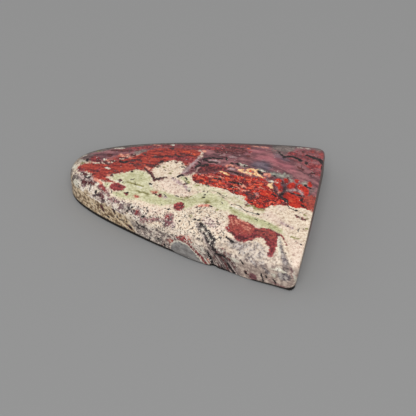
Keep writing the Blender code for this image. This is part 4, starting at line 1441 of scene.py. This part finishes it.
# lays the stone out flat for the colour map: the face, two strips of wall, the end and the back
def layOut(mesh):
    raw = np.concatenate(rawStone.points)
    runs = np.concatenate(rawStone.runs)
    scale, backScale, margin = (atlas[name] for name in ("scale", "backScale", "margin"))
    left, near = raw[:, :2].min(0)
    wallStart = (stoneHigh[1] - stoneLow[1]) * scale + 2 * margin
    stripHeight = stoneForm["girdle"] * scale + 2 * margin
    lastStart = wallStart + 2 * stripHeight
    backStart = stoneForm["width"] * scale + 2 * margin
    half = outlineRun / 2
    places = []
    for face in rawStone.faces:
        picked = list(face)
        x, y, z = raw[picked].T
        if z.max() == 0:
            u, v = backStart + (x - left) * backScale, lastStart + (y - near) * backScale
        elif (stoneKinds[picked] == endKind).any():
            u, v = margin + (y - near) * scale, lastStart + z * scale
        elif stoneDepths[picked].max() == 0:
            u, v = margin + (x - left) * scale, margin + (y - near) * scale
        else:
            far = runs[picked].mean() > half
            u, v = margin + (runs[picked] - half * far) * scale, wallStart + z * scale + stripHeight * far
        places.append(np.column_stack((u, v)))
    places = np.concatenate(places)
    layer = mesh.uv_layers.new(name="OFBake")
    layer.data.foreach_set("uv", places.ravel())
    print("map laid out, up to", places.max(0).round(3))


wear = {
    "mattTop": 4.6,  # the wall is ground matt below this height
    "mattFade": 0.8,
    "endMatt": 0.8,
    "backMatt": 1.8,
    "paintedEndShadeFade": 0.5,  # how far below the polish the straight end turns grey with painted shade
    # the painted contact shadow along the foot of the wall: how far up it fades
    "footShadowFade": 0.2,
    "farShadowTop": 0.5,  # how high the painted shadow reaches on the far side
    # the same along the near edge, as x and height
    "nearShadowTops": (
        (-22, 0.6), (-20.3, 1.05), (-7, 1.05), (-0.5, 0.85), (0.2, 0.55), (6.4, 0.5), (7.6, 0.9),
        (10, 0.75), (11, 0.35), (14, 0.35), (14.8, 0.75), (20.4, 0.8), (21.6, 1.3),
    ),
    "speckleSlope": 1.6,
    "unspeckled": -1.6,
    # patches with more specks, with calmer grain, and with blots
    "speckled": (
        ((-1.2, -7.8), (1.8, -6.8), (3.1, -5.8), (5.7, -6), (8.1, -6.8), (8.5, -9.8), (9.4, -11.4),
         (9, -12.6), (7, -13.2), (5, -14), (-0.2, -14), (-6.2, -12), (-8.6, -9.8), (-10, -8), (-14, -6.9),
         (-17.6, -4.6), (-24, -1), (-21, -1.4), (-18, -3.6), (-14, -6.4), (-10.1, -7), (-4.2, -7.8)),
    ),
    "calmed": (
        ((0, 5), (4, 6), (9, 6), (13, 6), (18, 5), (21, 4.4), (24, 4.4), (24, 17), (10, 16), (0, 12),
         (-10, 10), (-16, 6)),
        ((12.6, -4.4), (15, -3), (20, -3.2), (24, -3.2), (24, -11), (20.4, -11.4), (18.6, -9), (16, -7.6),
         (13.4, -5.6)),
        ((-14, -1), (-9, 0.8), (-7, -1), (-4, -3.4), (1, -4), (7, -3), (5, -6), (-2, -6), (-8, -6.4),
         (-13, -5)),
        ((5, -13.4), (8, -12.4), (11, -11.6), (14, -11.6), (17, -12.6), (18.4, -10), (20, -10), (24, -12),
         (24, -18), (5, -18)),
        ((-24, 1), (-20, -3), (-15, -6), (-9, -8.4), (-3, -10), (-3, -13), (-24, -6)),
    ),
    "blotched": (
        ((-24, 2), (-22, 1.6), (-20.6, 0.6), (-19.6, -2), (-17, -3.8), (-14, -6.2), (-10, -7.8), (-4, -10.4),
         (2, -12), (8, -13.4), (9, -15), (8, -19), (-4, -19), (-24, -12)),
        ((3.2, -8.8), (4.4, -9.4), (6.2, -10.8), (7.4, -12.4), (6, -13), (4.2, -11.4), (3, -10)),
    ),
}


# how matt, speckled, calm and blotched the stone is at each point, and where painted shade lies on the
# straight end and along the foot of the wall
def wearStone():
    def inside(name):
        return markDistance(stonePlaces[:, :2], {"patches": wear[name]})

    x, y, z = stonePlaces.T
    wall, end, back = (stoneKinds == kind for kind in (wallKind, endKind, backKind))
    share = nearShare(stonePlaces, stoneKinds)
    mattWall = np.clip((wear["mattTop"] - z) / wear["mattFade"], 0, 1)
    least = wear["unspeckled"]
    speckle = np.clip(inside("speckled") * wear["speckleSlope"], least, 1) - least
    # the height that the painted contact shadow reaches at each point
    shadowTop = wear["farShadowTop"] + (np.interp(x, *zip(*wear["nearShadowTops"])) - wear["farShadowTop"]) * share
    worn = {
        "ground": np.select([wall, end, back], [mattWall, wear["endMatt"], wear["backMatt"]], 0.0),
        "speckle": least + speckle * share,
        "calm": np.clip(inside("calmed"), 0, 1),
        "blotch": np.clip(inside("blotched"), 0, 1) * share,
        # painted shade over the straight end, below its polished edge
        "sawn": np.clip(stoneDepths / wear["paintedEndShadeFade"], 0, 1) * end,
        # painted contact shadow at the foot of the wall
        "grime": np.clip((shadowTop - z) / wear["footShadowFade"], 0, 1) * wall,
    }
    # the grey block in the wall is smooth
    block = markDistance(stonePlaces[:, [0, 2]], minerals["greyFacet"], onWall=True) > 0
    for name, value in (("speckle", least), ("calm", 1), ("blotch", 0)):
        worn[name][block & wall & (y < 0)] = value
    return worn


def makeStone():
    mesh = bpy.data.meshes.new("polishedStone")
    mesh.from_pydata(stonePlaces * mm, [], rawStone.faces)
    mesh.shade_smooth()
    for name, values in (stoneGrowth | wearStone()).items():
        layer = mesh.attributes.new(name, "FLOAT", "POINT")
        layer.data.foreach_set("value", np.asarray(values, np.float32))
    layOut(mesh)
    stone = bpy.data.objects.new("polishedStone", mesh)
    bpy.context.scene.collection.objects.link(stone)
    mesh.materials.append(paintStone())
    return stone


stone = makeStone()
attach(stone, "root")
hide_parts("stone")
print("stone made:", len(stone.data.polygons), "faces")


# Floor, light and camera

studio = {
    "floorSize": 3.0,
    "floorColour": (149, 149, 149),
    "floorRoughness": 0.9,
    "worldStrength": 0.55,
    "keyPlace": (0.15, -0.6, 0.9),
    "keySize": 0.7,
    "keyPower": 7.0,
    "cameraPlace": (38.31, -145.58, 154.25),
    "cameraAim": (3.01, 0.41, 0.0),
    "cameraAngle": 20.0,
}


def makeFloor():
    bpy.ops.mesh.primitive_plane_add(size=studio["floorSize"])
    floor = bpy.context.active_object
    floor.name = "paleFloor"
    material, _, shader = newMaterial("pale floor")
    shader.inputs["Base Color"].default_value = screen(*studio["floorColour"])
    shader.inputs["Roughness"].default_value = studio["floorRoughness"]
    shader.inputs["Specular IOR Level"].default_value = 0.0
    floor.data.materials.append(material)


# links a light or the camera into the scene, turned towards what it looks at
def aim(thing, place, target):
    thing.location = place
    thing.rotation_euler = (target - place).to_track_quat("-Z", "Y").to_euler()
    bpy.context.scene.collection.objects.link(thing)


def makeLight():
    world = bpy.data.worlds.new("soft studio")
    world.use_nodes = True
    sky = world.node_tree.nodes["Background"].inputs
    sky["Strength"].default_value = studio["worldStrength"]
    sky["Color"].default_value = (1, 1, 1, 1)
    bpy.context.scene.world = world
    lamp = bpy.data.lights.new("key softbox", "AREA")
    lamp.size = studio["keySize"]
    lamp.energy = studio["keyPower"]
    aim(bpy.data.objects.new("key softbox", lamp), Vector(studio["keyPlace"]), Vector())


def makeCamera():
    lens = bpy.data.cameras.new("camera")
    lens.angle = math.radians(studio["cameraAngle"])
    camera = bpy.data.objects.new("camera", lens)
    aim(camera, Vector(studio["cameraPlace"]) * mm, Vector(studio["cameraAim"]) * mm)
    bpy.context.scene.camera = camera


makeFloor()
makeLight()
makeCamera()
bpy.context.scene.view_settings.view_transform = "Standard"
print("floor, light and camera set")
